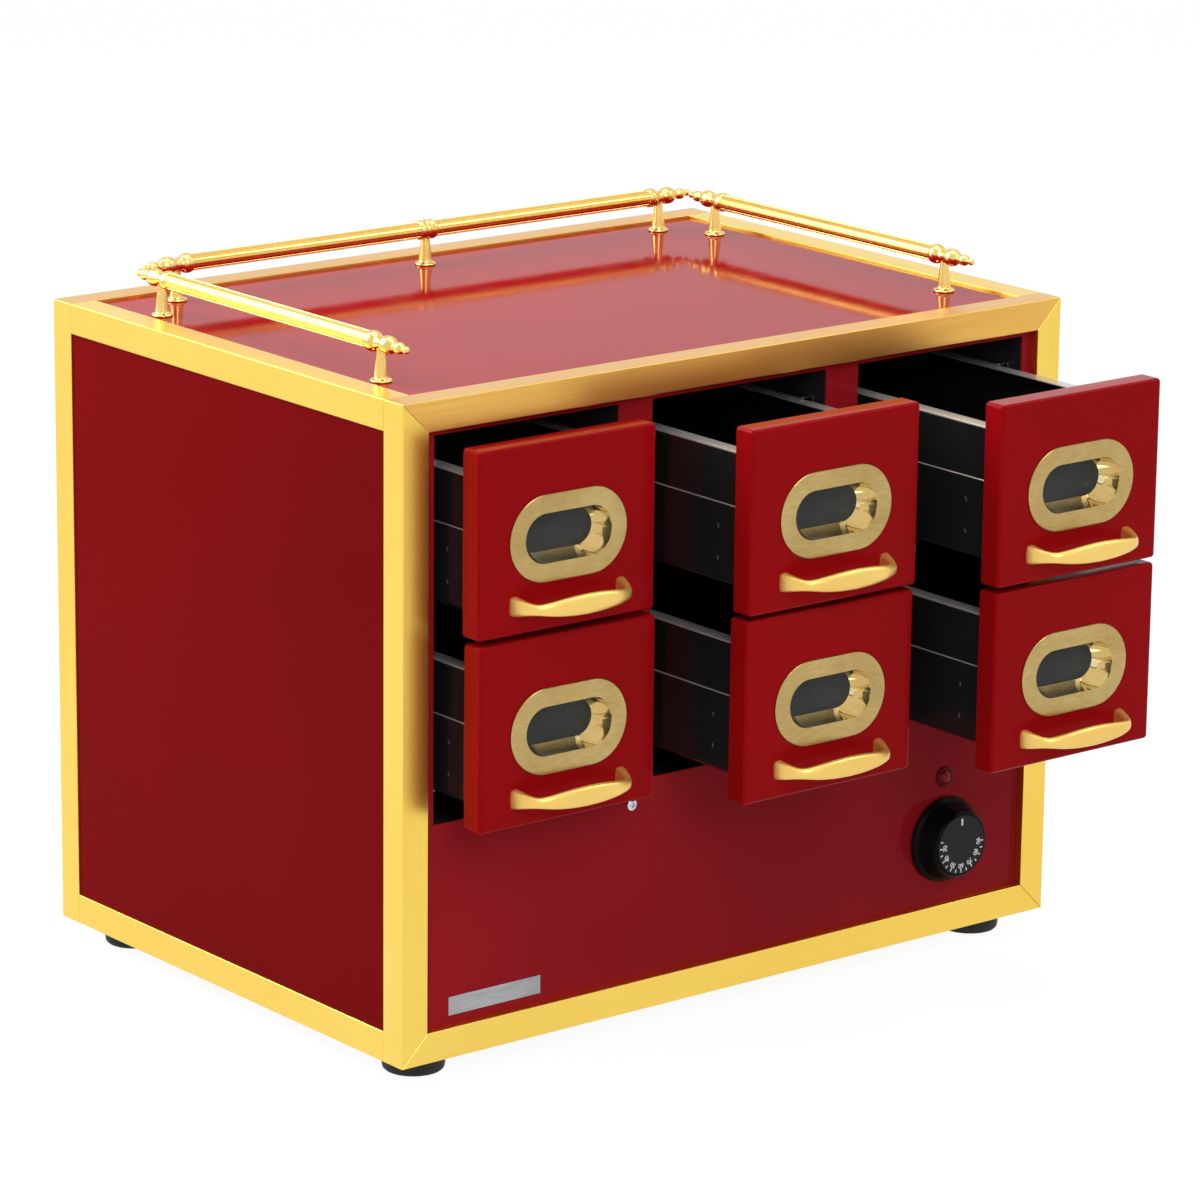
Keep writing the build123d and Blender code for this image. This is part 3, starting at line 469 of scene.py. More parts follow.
def buildPlacingTree():
    # puts one copy of a piece on each point, with its own axis along the point's facing
    tree, given, out = newTree("place on points", [
        ("Piece", "Object"), ("Size", "Float"), ("Finish", "Material")])
    info = addNode(tree, "GeometryNodeObjectInfo", transform_space="ORIGINAL")
    facing = addNode(tree, "GeometryNodeInputNamedAttribute", data_type="FLOAT_VECTOR")
    facing.inputs["Name"].default_value = "facing"
    turn = addNode(tree, "FunctionNodeAlignRotationToVector", axis="Z")
    place = addNode(tree, "GeometryNodeInstanceOnPoints")
    joinUp(tree, (given["Piece"], info.inputs["Object"]),
           (given["Geometry"], place.inputs["Points"]),
           (info.outputs["Geometry"], place.inputs["Instance"]),
           (facing.outputs["Attribute"], turn.inputs["Vector"]),
           (turn.outputs["Rotation"], place.inputs["Rotation"]),
           (given["Size"], place.inputs["Scale"]))
    return endTree(tree, place.outputs["Instances"], given, out)


def buildFluteTree():
    # a round rail along the drawn line, with straight flutes cut into it
    tree, given, out = newTree("fluted rail", [
        ("Flutes", "Int"), ("Radius", "Float"), ("Flute Depth", "Float"), ("Flute Width", "Float"),
        ("Finish", "Material")])
    perFlute = 10                            # points round the rail for each flute
    line = addNode(tree, "GeometryNodeMeshToCurve")
    circle = addNode(tree, "GeometryNodeCurvePrimitiveCircle")
    index = addNode(tree, "GeometryNodeInputIndex").outputs[0]
    wave = calculate(tree, "COSINE", calculate(tree, "MULTIPLY", index, 2 * pi / perFlute))
    cut = addNode(tree, "ShaderNodeMapRange", interpolation_type="SMOOTHSTEP")
    cut.inputs["From Max"].default_value = 1.0
    depth = calculate(tree, "MULTIPLY", cut.outputs["Result"], given["Flute Depth"])
    unit = addNode(tree, "ShaderNodeVectorMath", operation="NORMALIZE")
    offset = addNode(tree, "ShaderNodeVectorMath", operation="SCALE")
    move = addNode(tree, "GeometryNodeSetPosition")
    skin = addNode(tree, "GeometryNodeCurveToMesh")
    skin.inputs["Fill Caps"].default_value = True
    joinUp(tree, (given["Geometry"], line.inputs["Mesh"]),
           (calculate(tree, "MULTIPLY", given["Flutes"], perFlute), circle.inputs["Resolution"]),
           (given["Radius"], circle.inputs["Radius"]),
           (wave, cut.inputs["Value"]), (given["Flute Width"], cut.inputs["From Min"]),
           (addNode(tree, "GeometryNodeInputPosition").outputs[0], unit.inputs[0]),
           (unit.outputs[0], offset.inputs[0]),
           (calculate(tree, "MULTIPLY", depth, -1.0), offset.inputs["Scale"]),
           (circle.outputs["Curve"], move.inputs["Geometry"]),
           (offset.outputs[0], move.inputs["Offset"]),
           (line.outputs["Curve"], skin.inputs["Curve"]),
           (move.outputs["Geometry"], skin.inputs["Profile Curve"]))
    return endTree(tree, skin.outputs["Mesh"], given, out)


placingTree = buildPlacingTree()
fluteTree = buildFluteTree()


def grown(name, mesh, tree, values, crease=35):
    # runs a tree on a mesh and keeps the result as a plain mesh
    piece = addObject(name, mesh)
    work = piece.modifiers.new("nodes", "NODES")
    work.node_group = tree
    for item in tree.interface.items_tree:
        if item.in_out == "INPUT" and item.name in values:
            work[item.identifier] = values[item.name]
    piece.update_tag()
    freeze(piece)
    piece.data.shade_smooth()
    piece.data.set_sharp_from_angle(angle=radians(crease))
    return piece


def pointMesh(name, places):
    mesh = bpy.data.meshes.new(name)
    mesh.from_pydata([place for place, _ in places], [], [])
    facing = mesh.attributes.new("facing", "FLOAT_VECTOR", "POINT")
    facing.data.foreach_set("vector", [value for _, way in places for value in way])
    return mesh


def spreadPiece(name, source, places, material, crease=35):
    # copies of a source piece at places, each with the way its axis points
    return grown(name, pointMesh(name, places), placingTree,
                 {"Piece": source, "Size": 1.0, "Finish": material}, crease)


def sourcePiece(name, profile, segments=32):
    shape = newShape()
    addLoops(shape, turnedLoops(profile, (0, 0, 0), (0, 0, 1), segments))
    return makePiece(name, shape, [zincSteel], weighted=False)


frameTube = {"size": 0.020, "edge": 0.0006}


def mitredTubes(shape, box, slots):
    # four square bars with mitred ends round a rectangle, seen from the front
    (x0, y0, z0), (x1, y1, z1) = box
    size = frameTube["size"]
    bars = [([(x0, z0), (x1, z0), (x1 - size, z0 + size), (x0 + size, z0 + size)], slots[0]),
            ([(x1, z1), (x0, z1), (x0 + size, z1 - size), (x1 - size, z1 - size)], slots[2]),
            ([(x0, z1), (x0, z0), (x0 + size, z0 + size), (x0 + size, z1 - size)], slots[1]),
            ([(x1, z0), (x1, z1), (x1 - size, z1 - size), (x1 - size, z0 + size)], slots[1])]
    for corners, slot in bars:
        addLoops(shape, [[(x, y, z) for x, z in corners] for y in (y0, y1)], slot)


def buildFrame():
    # the top bars take the darker gold copy, a painted shade
    golds, edge = [goldAlong["x"], goldAlong["z"], goldTopPaintedShade], frameTube["edge"]
    for node, name in (("frame_front_surround", "frameFront"), ("frame_back_surround", "frameBack")):
        shape = newShape()
        mitredTubes(shape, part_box(node), (0, 1, 2))
        piece = makePiece(name, shape, golds, bevel=edge, merged=False)
        mount(piece, "cabinet", "gold_aluminium", node)
    shape = newShape()
    (x0, y0, z0), (x1, y1, z1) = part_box("frame_side_rails")
    size = frameTube["size"]
    for x in (x0, x1 - size):
        for z in (z0, z1 - size):
            addBlock(shape, (x, y0, z), (x + size, y1, z + size))
    piece = makePiece("frameSideRails", shape, [goldAlong["y"]], bevel=edge, merged=False)
    mount(piece, "cabinet", "gold_aluminium", "frame_side_rails")


buildFrame()
print("frame bars made")


# the side panels take the painted shade copy of the enamel, the front grid and control panel the painted
# sheen copy
sheetWork = [
    ("top_panel", "topPanel", redEnamel, 0.0004, "red_enamel"),
    ("side_panel_left", "sidePanelLeft", redSidePaintedShade, 0.0004, "red_enamel"),
    ("side_panel_right", "sidePanelRight", redSidePaintedShade, 0.0004, "red_enamel"),
    ("front_grid", "frontGrid", redFrontPaintedSheen, 0.0005, "red_enamel"),
    ("control_panel", "controlPanel", redFrontPaintedSheen, 0.0005, "red_enamel"),
    ("back_panel", "backPanel", darkSheet, 0.0004, "dark_sheet"),
    ("base_panel", "basePanel", darkSheet, 0.0004, "dark_sheet"),
    ("inner_casing", "innerCasing", innerSheetPaintedLight, 0.0004, "dark_sheet"),
    ("drawer_dividers", "drawerDividers", innerSheetPaintedLight, 0.0003, "dark_sheet"),
    ("drawer_runners", "drawerRunners", zincSteel, 0.0003, "dark_sheet"),
    ("nameplate", "plateBlank", plateSilver, 0.00018, "plate_metal"),
    ("cable_gland", "cableGland", darkPlastic, 0.0006, "dark_plastic"),
    ("terminal_block", "terminalBlock", darkPlastic, 0.0006, "dark_plastic"),
    ("heat_plate", "heatPlate", heatAluminium, 0.0005, "heat_aluminium"),
    ("element_clips", "elementClips", zincSteel, 0.0003, "zinc_steel"),
    ("thermostat_body", "thermostatBox", darkPlastic, 0.0005, "dark_plastic"),
]
for node, name, material, bevel, slot in sheetWork:
    mount(softened(node, name, material, bevel), "cabinet", slot, node)


def repaint(node, material):
    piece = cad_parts[node]
    piece.data.materials.clear()
    piece.data.materials.append(material)


repaint("heating_element", heaterSteel)
repaint("wiring_harness", wireSleeve)
repaint("thermostat_spindle", zincSteel)
print("sheets and inner works dressed:", len(sheetWork))


panHead = {"radius": 0.0040, "height": 0.0022, "recess": 0.0009, "wing": 0.00075, "reach": 0.0023,
           "taper": 0.6, "clear": 0.001, "dome": ((1, 0.35), (0.93, 0.68), (0.72, 0.92), (0.4, 1))}
screwPlaces = {"stile": 0.08558, "level": 0.1527, "edge": 0.012, "belowBase": 0.009}
footShape = {"wide": 0.0210, "narrow": 0.0195, "groove": 0.0006, "hole": 0.0027, "bore": 0.0060,
             "boreDepth": 0.0060, "ease": 0.0008, "grooveLevels": (0.72, 0.70, 0.66, 0.64)}


def panHeadSource():
    # a domed head with a cross recess
    r, h = panHead["radius"], panHead["height"]
    dome = [(r * across, h * up) for across, up in panHead["dome"]]
    head = sourcePiece("screwHeadSource", [(0.0, 0.0), (r, 0.0)] + dome + [(0.0, h)])
    cutter = newShape()
    wing, reach, taper = panHead["wing"], panHead["reach"], panHead["taper"]
    cross = [(wing, wing), (wing, reach), (-wing, reach), (-wing, wing), (-reach, wing),
             (-reach, -wing), (-wing, -wing), (-wing, -reach), (wing, -reach), (wing, -wing),
             (reach, -wing), (reach, wing)]
    addLoops(cutter, [[(x * taper, y * taper, h - panHead["recess"]) for x, y in cross],
                      [(x, y, h + panHead["clear"]) for x, y in cross]])
    tool = makePiece("crossCutter", cutter, [zincSteel], weighted=False)
    cut = head.modifiers.new("cross", "BOOLEAN")
    cut.operation = "DIFFERENCE"
    cut.object = tool
    cut.solver = "EXACT"
    freeze(head)
    bpy.data.objects.remove(tool)
    return head


def buildCabinetScrews(head):
    edge, inset = screwPlaces["edge"], footShape["wide"]
    stile, front, level = screwPlaces["stile"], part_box("control_panel")[0].y, screwPlaces["level"]
    places = [((x, front, level), (0, -1, 0)) for x in (-stile, stile)]
    low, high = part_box("back_panel")
    x1, back, z0, z1 = high.x - edge, high.y, low.z + edge, high.z - edge
    places += [((x, back, z), (0, 1, 0)) for x in (-x1, 0, x1) for z in (z0, z1)]
    places += [((x, back, (z0 + z1) / 2), (0, 1, 0)) for x in (-x1, x1)]
    low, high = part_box("foot_pads")
    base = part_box("base_panel")
    for x in (low.x + inset, high.x - inset):
        for y in (low.y + inset, high.y - inset):
            places.append(((x, y, base[0].z - screwPlaces["belowBase"]), (0, 0, -1)))
            places.append(((x, y, base[1].z), (0, 0, 1)))
    piece = spreadPiece("cabinetScrews", head, places, zincSteel)
    mount(piece, "cabinet", "zinc_steel", "cabinet_screws")


def buildFeet():
    (x0, y0, z0), (x1, y1, z1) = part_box("foot_pads")
    wide, narrow, tall = footShape["wide"], footShape["narrow"], z1 - z0
    groove, hole, bore, deep = (footShape[key] for key in ("groove", "hole", "bore", "boreDepth"))
    above, upper, lower, below = (tall * share for share in footShape["grooveLevels"])
    ease = footShape["ease"]
    profile = [(hole, tall), (wide - ease, tall), (wide, tall - ease), (wide - 0.0002, above),
               (wide - groove - 0.0003, upper), (wide - groove - 0.0004, lower),
               (wide - 0.0004, below), (narrow + 0.0006, 0.0030), (narrow + 0.0002, 0.0012),
               (narrow - 0.0010, 0.0), (bore + 0.0004, 0.0), (bore, 0.0005), (bore, deep), (hole, deep)]
    shape = newShape()
    addLoops(shape, turnedLoops(profile, (0, 0, 0), (0, 0, 1), 64), ring=True)
    foot = makePiece("footSource", shape, [footRubber], weighted=False)
    places = [((x, y, z0), (0, 0, 1)) for x in (x0 + wide, x1 - wide) for y in (y0 + wide, y1 - wide)]
    mount(spreadPiece("feet", foot, places, footRubber), "cabinet", "foot_rubber", "foot_pads")
    bpy.data.objects.remove(foot)


screwHead = panHeadSource()
buildCabinetScrews(screwHead)
buildFeet()
print("screws and feet placed")


rail = {"radius": 0.0056, "flutes": 20, "depth": 0.0006, "width": 0.45, "sideSpan": 0.239,
        "backHalf": 0.204, "overhang": 0.028, "bell": 0.0059, "inset": 0.006}
post = {
    # millimetres: radius and height above the panel
    "column": mm((6.9, 0), (7.1, 0.5), (7, 1.2), (6.2, 1.9), (5, 2.4), (4.6, 3.4), (4.2, 7),
                 (3.6, 12.5), (3, 17.2), (2.8, 20.5), (3, 22.5), (0, 23.5)),
}
crown = {
    # millimetres: radius and how far outward from the post's middle
    "end": mm((0, -11.2), (5.4, -11.2), (6.2, -10.4), (6.6, -8.6), (6.5, -6.6), (5.8, -4.6),
              (4.7, -3.1), (4.2, -1.5), (4.2, 1.2), (4.7, 2.6), (5.5, 4.6), (5.9, 7.3), (5.6, 9.8),
              (4.6, 11.9), (3.4, 13.4), (2.7, 14.6), (2.8, 15.6), (3.4, 16.8), (3.8, 18.7),
              (3.5, 20.7), (2.6, 22.2), (1.9, 23.1), (1.9, 24), (2.2, 25.1), (2.3, 26.2), (1.9, 27.3),
              (1, 27.9), (0, 28)),
    "middle": mm((0, -6.8), (5.7, -6.8), (6.4, -6), (6.7, -4.5), (6.3, -2.8), (6, -1.4), (6.6, -0.4),
                 (6.9, 0), (6.6, 0.4), (6, 1.4), (6.3, 2.8), (6.7, 4.5), (6.4, 6), (5.7, 6.8),
                 (0, 6.8)),
}


def buildGallery():
    low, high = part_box("gallery_finials")
    level = high.z - rail["bell"]
    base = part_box("gallery_posts")[0].z
    left, right = low.x + rail["bell"], high.x - rail["bell"]
    near, back = low.y + rail["overhang"], high.y - rail["bell"]
    far, half = near + rail["sideSpan"], rail["backHalf"]
    ends = [((left, near), (0, -1)), ((left, far), (0, 1)), ((right, near), (0, -1)),
            ((right, far), (0, 1)), ((-half, back), (-1, 0)), ((half, back), (1, 0))]
    points = []
    for first, last in (ends[0:2], ends[2:4], ends[4:6]):
        start, end = Vector(first[0]), Vector(last[0])
        way = (end - start).normalized() * rail["inset"]
        points += [(*(start + way), level), (*(end - way), level)]
    railLines = bpy.data.meshes.new("railLines")
    railLines.from_pydata(points, [(0, 1), (2, 3), (4, 5)], [])
    tubes = grown("galleryTubes", railLines, fluteTree, {
        "Flutes": rail["flutes"], "Radius": rail["radius"], "Flute Depth": rail["depth"],
        "Flute Width": rail["width"], "Finish": goldPlate}, crease=50)
    mount(tubes, "cabinet", "gold_plate", "gallery_tubes")
    stem = post["column"]
    column = sourcePiece("postSource", smoothRun(stem[:-1], 3) + stem[-1:], 40)
    columns = [((x, y, base), (0, 0, 1)) for (x, y), _ in ends] + [((0.0, back, base), (0, 0, 1))]
    posts = spreadPiece("galleryPosts", column, columns, goldPlate, 60)
    mount(posts, "cabinet", "gold_plate", "gallery_posts")
    cap = sourcePiece("crownSource", crown["end"][:1] + smoothRun(crown["end"][1:], 3), 40)
    caps = [((x, y, level), (*way, 0)) for (x, y), way in ends]
    finials = spreadPiece("galleryFinials", cap, caps, goldPlate, 60)
    mount(finials, "cabinet", "gold_plate", "gallery_finials")
    ring = crown["middle"]
    collar = sourcePiece("collarSource", ring[:1] + smoothRun(ring[1:-1], 3) + ring[-1:], 40)
    collars = [((0.0, back, level), (1, 0, 0))]
    mount(spreadPiece("galleryCollar", collar, collars, goldPlate, 60), "cabinet", "gold_plate")
    for source in (column, cap, collar):
        bpy.data.objects.remove(source)


buildGallery()
print("gallery rails, posts and finials made")


board = {"edge": 0.0022, "corner": 0.0026, "hole": (0.0708, 0.0382), "backEase": (0.0006, 0.0004)}
bezel = {
    # millimetres: the inset from the outer edge and how far it stands in front of the board
    "face": mm((0, 0), (0, 0.9), (0.3, 1.4), (0.9, 1.6), (11.3, 1.5), (11.9, 1.2)),
    "mouth": (0.0670, 0.0344), "throat": (0.0562, 0.0236), "depth": 0.0125, "wall": 0.0016,
    "proud": 0.0010, "hollow": 0.0016, "cornerSteps": 18,
    "steps": (0.0, 0.05, 0.16, 0.3, 0.45, 0.6, 0.75, 0.88, 1.0),
}
handle = {
    # across from the middle, reach from the board, turn of the section, thickness, height
    "stations": [(0.0415, -0.0002, 2, 0.0074, 0.0124), (0.0413, 0.0014, 6, 0.0071, 0.0120),
                 (0.0404, 0.0050, 16, 0.0063, 0.0106), (0.0388, 0.0095, 28, 0.0056, 0.0086),
                 (0.0366, 0.0136, 44, 0.0052, 0.0071), (0.0338, 0.0163, 60, 0.0052, 0.0070),
                 (0.0300, 0.0179, 70, 0.0055, 0.0080), (0.0230, 0.0195, 78, 0.0059, 0.0100),
                 (0.0120, 0.0203, 85, 0.0061, 0.0121), (0.0000, 0.0205, 90, 0.0062, 0.0130)],
    "squareness": (3.6, 2.3), "rise": 0.0187, "sides": 28,
}
tray = {"half": 0.0650, "ledge": 0.0012, "ledgeHeight": 0.0515, "sheet": 0.0010, "flange": 0.0100,
        "corner": 0.0040, "bend": 0.0030, "rim": 0.0012, "fixing": 0.020, "lap": 0.0012,
        "ease": 0.0004, "wallCorner": 0.0015, "lipCorner": 0.0040, "innerCorner": 0.0010}
rivet = {"radius": 0.0019, "height": 0.0007, "sunk": 0.0002, "levels": (0.3, 0.7),
         "dome": ((1, 0.2), (0.88, 0.62), (0.6, 0.9), (0.3, 1))}


def frontLoop(across, up, width, height, radius, y, steps=10):
    return [(across + u, y, up + v) for u, v in outline(width, height, radius, steps)]


def faceOf(node):
    # the middle and size of a node seen from the front, and where its front and back lie
    (x0, y0, z0), (x1, y1, z1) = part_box(node)
    return (x0 + x1) / 2, (z0 + z1) / 2, x1 - x0, z1 - z0, y0, y1


def buildBoard(place, body):
    node = f"drawer_front_{place}"
    cx, cz, w, h, y0, y1 = faceOf(node)
    up = faceOf(f"window_pane_{place}")[1]
    e, r, (ease, land) = board["edge"], board["corner"], board["backEase"]
    loops = [frontLoop(cx, cz, w - ease, h - ease, r, y1), frontLoop(cx, cz, w, h, r, y1 - land)]
    for step in range(7):                    # the softened edge of the front
        angle = radians(15 * step)
        inset = e * (1 - cos(angle))
        loops.append(frontLoop(cx, cz, w - 2 * inset, h - 2 * inset, r - inset * 0.9,
                               y0 + e * (1 - sin(angle))))
    wide, tall = board["hole"]
    loops += [frontLoop(cx, up, wide, tall, tall / 2, y) for y in (y0, y1)]
    shape = newShape()
    addLoops(shape, loops, ring=True)
    mount(makePiece(f"drawerFront_{place}", shape, [redLacquer], crease=50), body, "red_lacquer", node)


def buildBezel(place, body):
    node = f"window_bezel_{place}"
    cx, cz, w, h, _, _ = faceOf(node)
    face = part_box(f"drawer_front_{place}")[0].y

    def slotLoop(width, height, y):
        return frontLoop(cx, cz, width, height, height / 2, y, bezel["cornerSteps"])

    loops = [slotLoop(w - 2 * inset, h - 2 * inset, face - stand) for inset, stand in bezel["face"]]
    ringBands = len(loops) - 1
    (mw, mh), (tw, th), deep = bezel["mouth"], bezel["throat"], bezel["depth"]
    wall, proud = bezel["wall"], bezel["proud"]
    for share in bezel["steps"]:             # the reveal narrows, a little hollow half way
        hollow = bezel["hollow"] * sin(pi * share)
        loops.append(slotLoop(mw + (tw - mw) * share + hollow, mh + (th - mh) * share + hollow,
                              face - proud + (deep + proud) * share))
    loops += [slotLoop(mw + 2 * wall, mh + 2 * wall, y) for y in (face + deep, face)]
    bands = [0] * (ringBands + 1) + [1] * (len(bezel["steps"]) - 1) + [0] * 3
    shape = newShape()
    addLoops(shape, loops, bands=bands, ring=True)
    piece = makePiece(f"windowBezel_{place}", shape, [brassFace, brassMirror], crease=28)
    mount(piece, body, "brushed_gold", node)


def buildHandle(place, body):
    node = f"handle_{place}"
    low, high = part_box(node)
    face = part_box(f"drawer_front_{place}")[0]
    cx, cz = (low.x + high.x) / 2, face.z + handle["rise"]
    half = smoothRun(handle["stations"], 5)
    run = [(-1, *station) for station in half] + [(1, *station) for station in reversed(half[:-1])]
    (footSquare, bellySquare), sides = handle["squareness"], handle["sides"]
    longest = handle["stations"][-1][1]
    loops = []
    for side, across, reach, turn, thick, tall in run:
        angle = radians(turn)
        outer = Vector((side * cos(angle), -sin(angle), 0))
        middle = Vector((cx + side * across, face.y - reach, cz))
        power = 2 / (footSquare + (bellySquare - footSquare) * max(reach, 0) / longest)
        loop = []
        for k in range(sides):
            c, s = cos(2 * pi * k / sides), sin(2 * pi * k / sides)
            c = abs(c) ** power * (1 if c > 0 else -1)
            s = abs(s) ** power * (1 if s > 0 else -1)
            loop.append(middle + outer * (thick / 2 * c) + Vector((0, 0, tall / 2 * s)))
        loops.append(loop)
    shape = newShape()
    addLoops(shape, loops)
    piece = makePiece(f"pullHandle_{place}", shape, [goldSatin], crease=60, weighted=False)
    mount(piece, body, "gold_plate", node)


def buildTray(place, body):
    node = f"tray_{place}"
    cx, _, _, _, _, y0 = faceOf(f"drawer_front_{place}")
    (_, _, z0), (_, y1, z1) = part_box(node)
    cy, length = (y0 + y1) / 2, y1 - y0
    sheet, bend, corner = tray["sheet"], tray["bend"], tray["corner"]
    rim, flange, half, ledge = tray["rim"], tray["flange"], tray["half"], z0 + tray["ledgeHeight"]
    lap, ease, panHalf = tray["lap"], tray["ease"], half + tray["ledge"]
    wallCorner, lipCorner, innerCorner = tray["wallCorner"], tray["lipCorner"], tray["innerCorner"]

    def flat(wide, inset, z, radius):
        loop = outline(2 * wide - 2 * inset, length - 2 * inset, radius, 6)
        return [(cx + u, cy + v, z) for u, v in loop]

    pan = []
    for step in range(5):                    # the bend between floor and wall, outside
        angle = radians(22.5 * step)
        inset = bend * (1 - sin(angle))
        pan.append((inset, z0 + bend * (1 - cos(angle)), corner - inset * 0.8))
    tight = corner - 0.001
    pan += [(0, ledge - 0.0005, corner), (ease, ledge, corner), (0.0016, ledge, tight),
            (sheet + 0.0012, ledge - 0.001, tight), (sheet, ledge - 0.002, tight)]
    for step in range(5):                    # and back inside
        angle = radians(90 - 22.5 * step)
        inset = sheet + (bend - sheet) * (1 - sin(angle))
        pan.append((inset, z0 + sheet + (bend - sheet) * (1 - cos(angle)), corner - inset * 0.9))
    sleeve = [(0, ledge - lap, wallCorner), (0, z1 - rim, wallCorner),
              (rim * 0.3, z1 - rim * 0.3, wallCorner), (rim, z1, 0.0014),
              (flange - ease, z1, lipCorner), (flange, z1 - 0.0003, lipCorner),
              (flange, z1 - 0.0008, lipCorner), (flange - ease, z1 - sheet, lipCorner),
              (sheet + 0.001, z1 - sheet, innerCorner), (sheet, z1 - sheet - 0.001, innerCorner),
              (sheet, ledge - lap, innerCorner)]
    shape = newShape()
    # the ledge bands and the rim bands take the painted highlight copy of the steel
    addLoops(shape, [flat(panHalf, *row) for row in pan], bands=[0] * 5 + [1] * 3 + [0] * (len(pan) - 9))
    addLoops(shape, [flat(half, *row) for row in sleeve], bands=[0] + [1] * 7 + [0] * 3, ring=True)
    piece = makePiece(f"traySteel_{place}", shape, [stainless, paintedHighlightRim], crease=40)
    mount(piece, body, "stainless", node)
    # rivet heads outside and screw heads inside, near the board
    levels = [z0 + share * tray["ledgeHeight"] for share in rivet["levels"]]
    places = [((cx + side * panHalf, y0 + tray["fixing"], z), (side, 0, 0))
              for side in (-1, 1) for z in levels]
    mount(spreadPiece(f"trayRivets_{place}", rivetHead, places, stainless), body, "stainless")
    places = [((cx + side * (half - flange), y0 + sheet, z), (0, 1, 0))
              for side in (-1, 1) for z in (z0 + 2 * flange, z1 - 2 * flange)]
    mount(spreadPiece(f"trayScrews_{place}", screwHead, places, zincSteel), body, "zinc_steel")


def rivetSource():
    r, h = rivet["radius"], rivet["height"]
    profile = [(0, -rivet["sunk"]), (r, -rivet["sunk"])]
    profile += [(r * across, h * up) for across, up in rivet["dome"]] + [(0, h)]
    return sourcePiece("rivetSource", profile, 20)


rivetHead = rivetSource()
for row in ("lower", "upper"):
    for column in ("left", "middle", "right"):
        place = f"{row}_{column}"
        body = f"drawer_{place}"
        buildBoard(place, body)
        buildBezel(place, body)
        buildHandle(place, body)
        buildTray(place, body)
        repaint(f"window_pane_{place}", smokedGlass)
        print("drawer made:", place)
for source in (rivetHead, screwHead):
    bpy.data.objects.remove(source)


knob = {
    "profile": mm((0, 0), (27.8, 0), (28.9, 0.5), (29.2, 1.4), (29.1, 2.4), (28.3, 3.1), (27.2, 3.5),
                  (26.4, 4.2), (25.9, 5.6), (25, 9), (23.8, 13.5), (22.9, 16.4), (22.1, 17.7),
                  (21.1, 18.3), (20.6, 18.3), (20.4, 18), (0, 18)),
    "dialRadius": 0.0203, "dialThickness": 0.0004, "dialSeat": 0.0180,
}
dial = {"first": 165.0, "step": 15.0, "marks": 14, "numbers": ("30", "40", "50", "60", "70", "80", "90"),
        "outer": 0.0194, "shortTick": 0.0022, "longTick": 0.0030, "tickWidth": 0.0008,
        "indexOuter": 0.0182, "indexInner": 0.0136, "indexWidth": 0.0016, "digitPlace": 0.0146,
        "digitSize": 0.00459, "digitDepth": 0.00006, "digitWeight": 0.00008,
        "markSunk": 0.00005, "markProud": 0.00008}
lamp = {
    "ring": mm((0, 0), (6.8, 0), (7.2, 0.3), (7, 1), (6.4, 1.4), (5.6, 1.5), (5, 1.3), (4.8, 0.9),
               (0, 0.9)),
    "lens": mm((0, 0.2), (4.8, 0.2), (4.7, 1.2), (4.1, 2.2), (3.1, 2.8), (1.6, 3.1), (0, 3.2)),
    "barrel": mm((0, -22), (4.6, -22), (5.2, -21.4), (5.2, 0), (0, 0)),
    "nut": mm((5.1, -4), (7.8, -4), (8, -3.7), (8, -1.8), (7.8, -1.5), (5.1, -1.5)),
}


def addTurned(shape, profile, origin, segments, slot=0):
    # turned about the way to the front; a tiny radius at the ends keeps their faces whole
    rings = [(max(radius, 0.0001), along) for radius, along in profile]
    addLoops(shape, turnedLoops(rings, origin, (0, -1, 0), segments), slot)


def digitMesh(label):
    curve = bpy.data.curves.new("digits", "FONT")
    curve.body = label
    curve.align_x, curve.align_y = "CENTER", "CENTER"
    curve.size, curve.extrude, curve.offset = dial["digitSize"], dial["digitDepth"], dial["digitWeight"]
    text = addObject("digits", curve)
    mesh = evaluatedMesh(text)
    bpy.data.objects.remove(text)
    return mesh


def buildDialMarks(x, z, front):
    marks = newShape()

    def bar(angle, inner, outer, width):
        c, s = cos(angle), sin(angle)
        corners = [(inner, -width / 2), (outer, -width / 2), (outer, width / 2), (inner, width / 2)]
        addLoops(marks, [[(x + a * c - b * s, y, z + a * s + b * c) for a, b in corners]
                         for y in (front + dial["markSunk"], front - dial["markProud"])])

    bar(radians(90), dial["indexInner"], dial["indexOuter"], dial["indexWidth"])
    angles = [radians(dial["first"] + mark * dial["step"]) for mark in range(dial["marks"])]
    for mark, angle in enumerate(angles):
        tick = dial["longTick"] if mark % 2 else dial["shortTick"]
        bar(angle, dial["outer"] - tick, dial["outer"], dial["tickWidth"])
    for angle, label in zip(angles[1::2], dial["numbers"]):
        mesh = digitMesh(label)
        c, s = cos(angle - pi / 2), sin(angle - pi / 2)
        middleX, middleZ = x + dial["digitPlace"] * cos(angle), z + dial["digitPlace"] * sin(angle)
        first = len(marks["points"])
        for vertex in mesh.vertices:
            u, v, w = vertex.co
            marks["points"].append((middleX + u * c - v * s, front - w, middleZ + u * s + v * c))
        for polygon in mesh.polygons:
            marks["faces"].append(tuple(first + k for k in polygon.vertices))
            marks["slots"].append(0)
        bpy.data.meshes.remove(mesh)
    mount(makePiece("dialMarks", marks, [dialPrint], weighted=False), "knob", "black_plastic")


def buildKnob():
    x, z, _, _, _, back = faceOf("thermostat_knob")
    shape = newShape()
    addTurned(shape, knob["profile"], (x, back, z), 96)
    piece = makePiece("knobBody", shape, [knobPlastic], crease=50)
    mount(piece, "knob", "black_plastic", "thermostat_knob")
    face = back - knob["dialSeat"]
    r, t = knob["dialRadius"], knob["dialThickness"]
    disc = newShape()
    rim = [(0.0, -0.0002), (r, -0.0002), (r, t - 0.0001), (r - 0.0002, t), (0.0, t)]
    addTurned(disc, rim, (x, face, z), 72)
    mount(makePiece("dialFace", disc, [dialPlastic]), "knob", "dark_plastic")
    buildDialMarks(x, z, face - t)


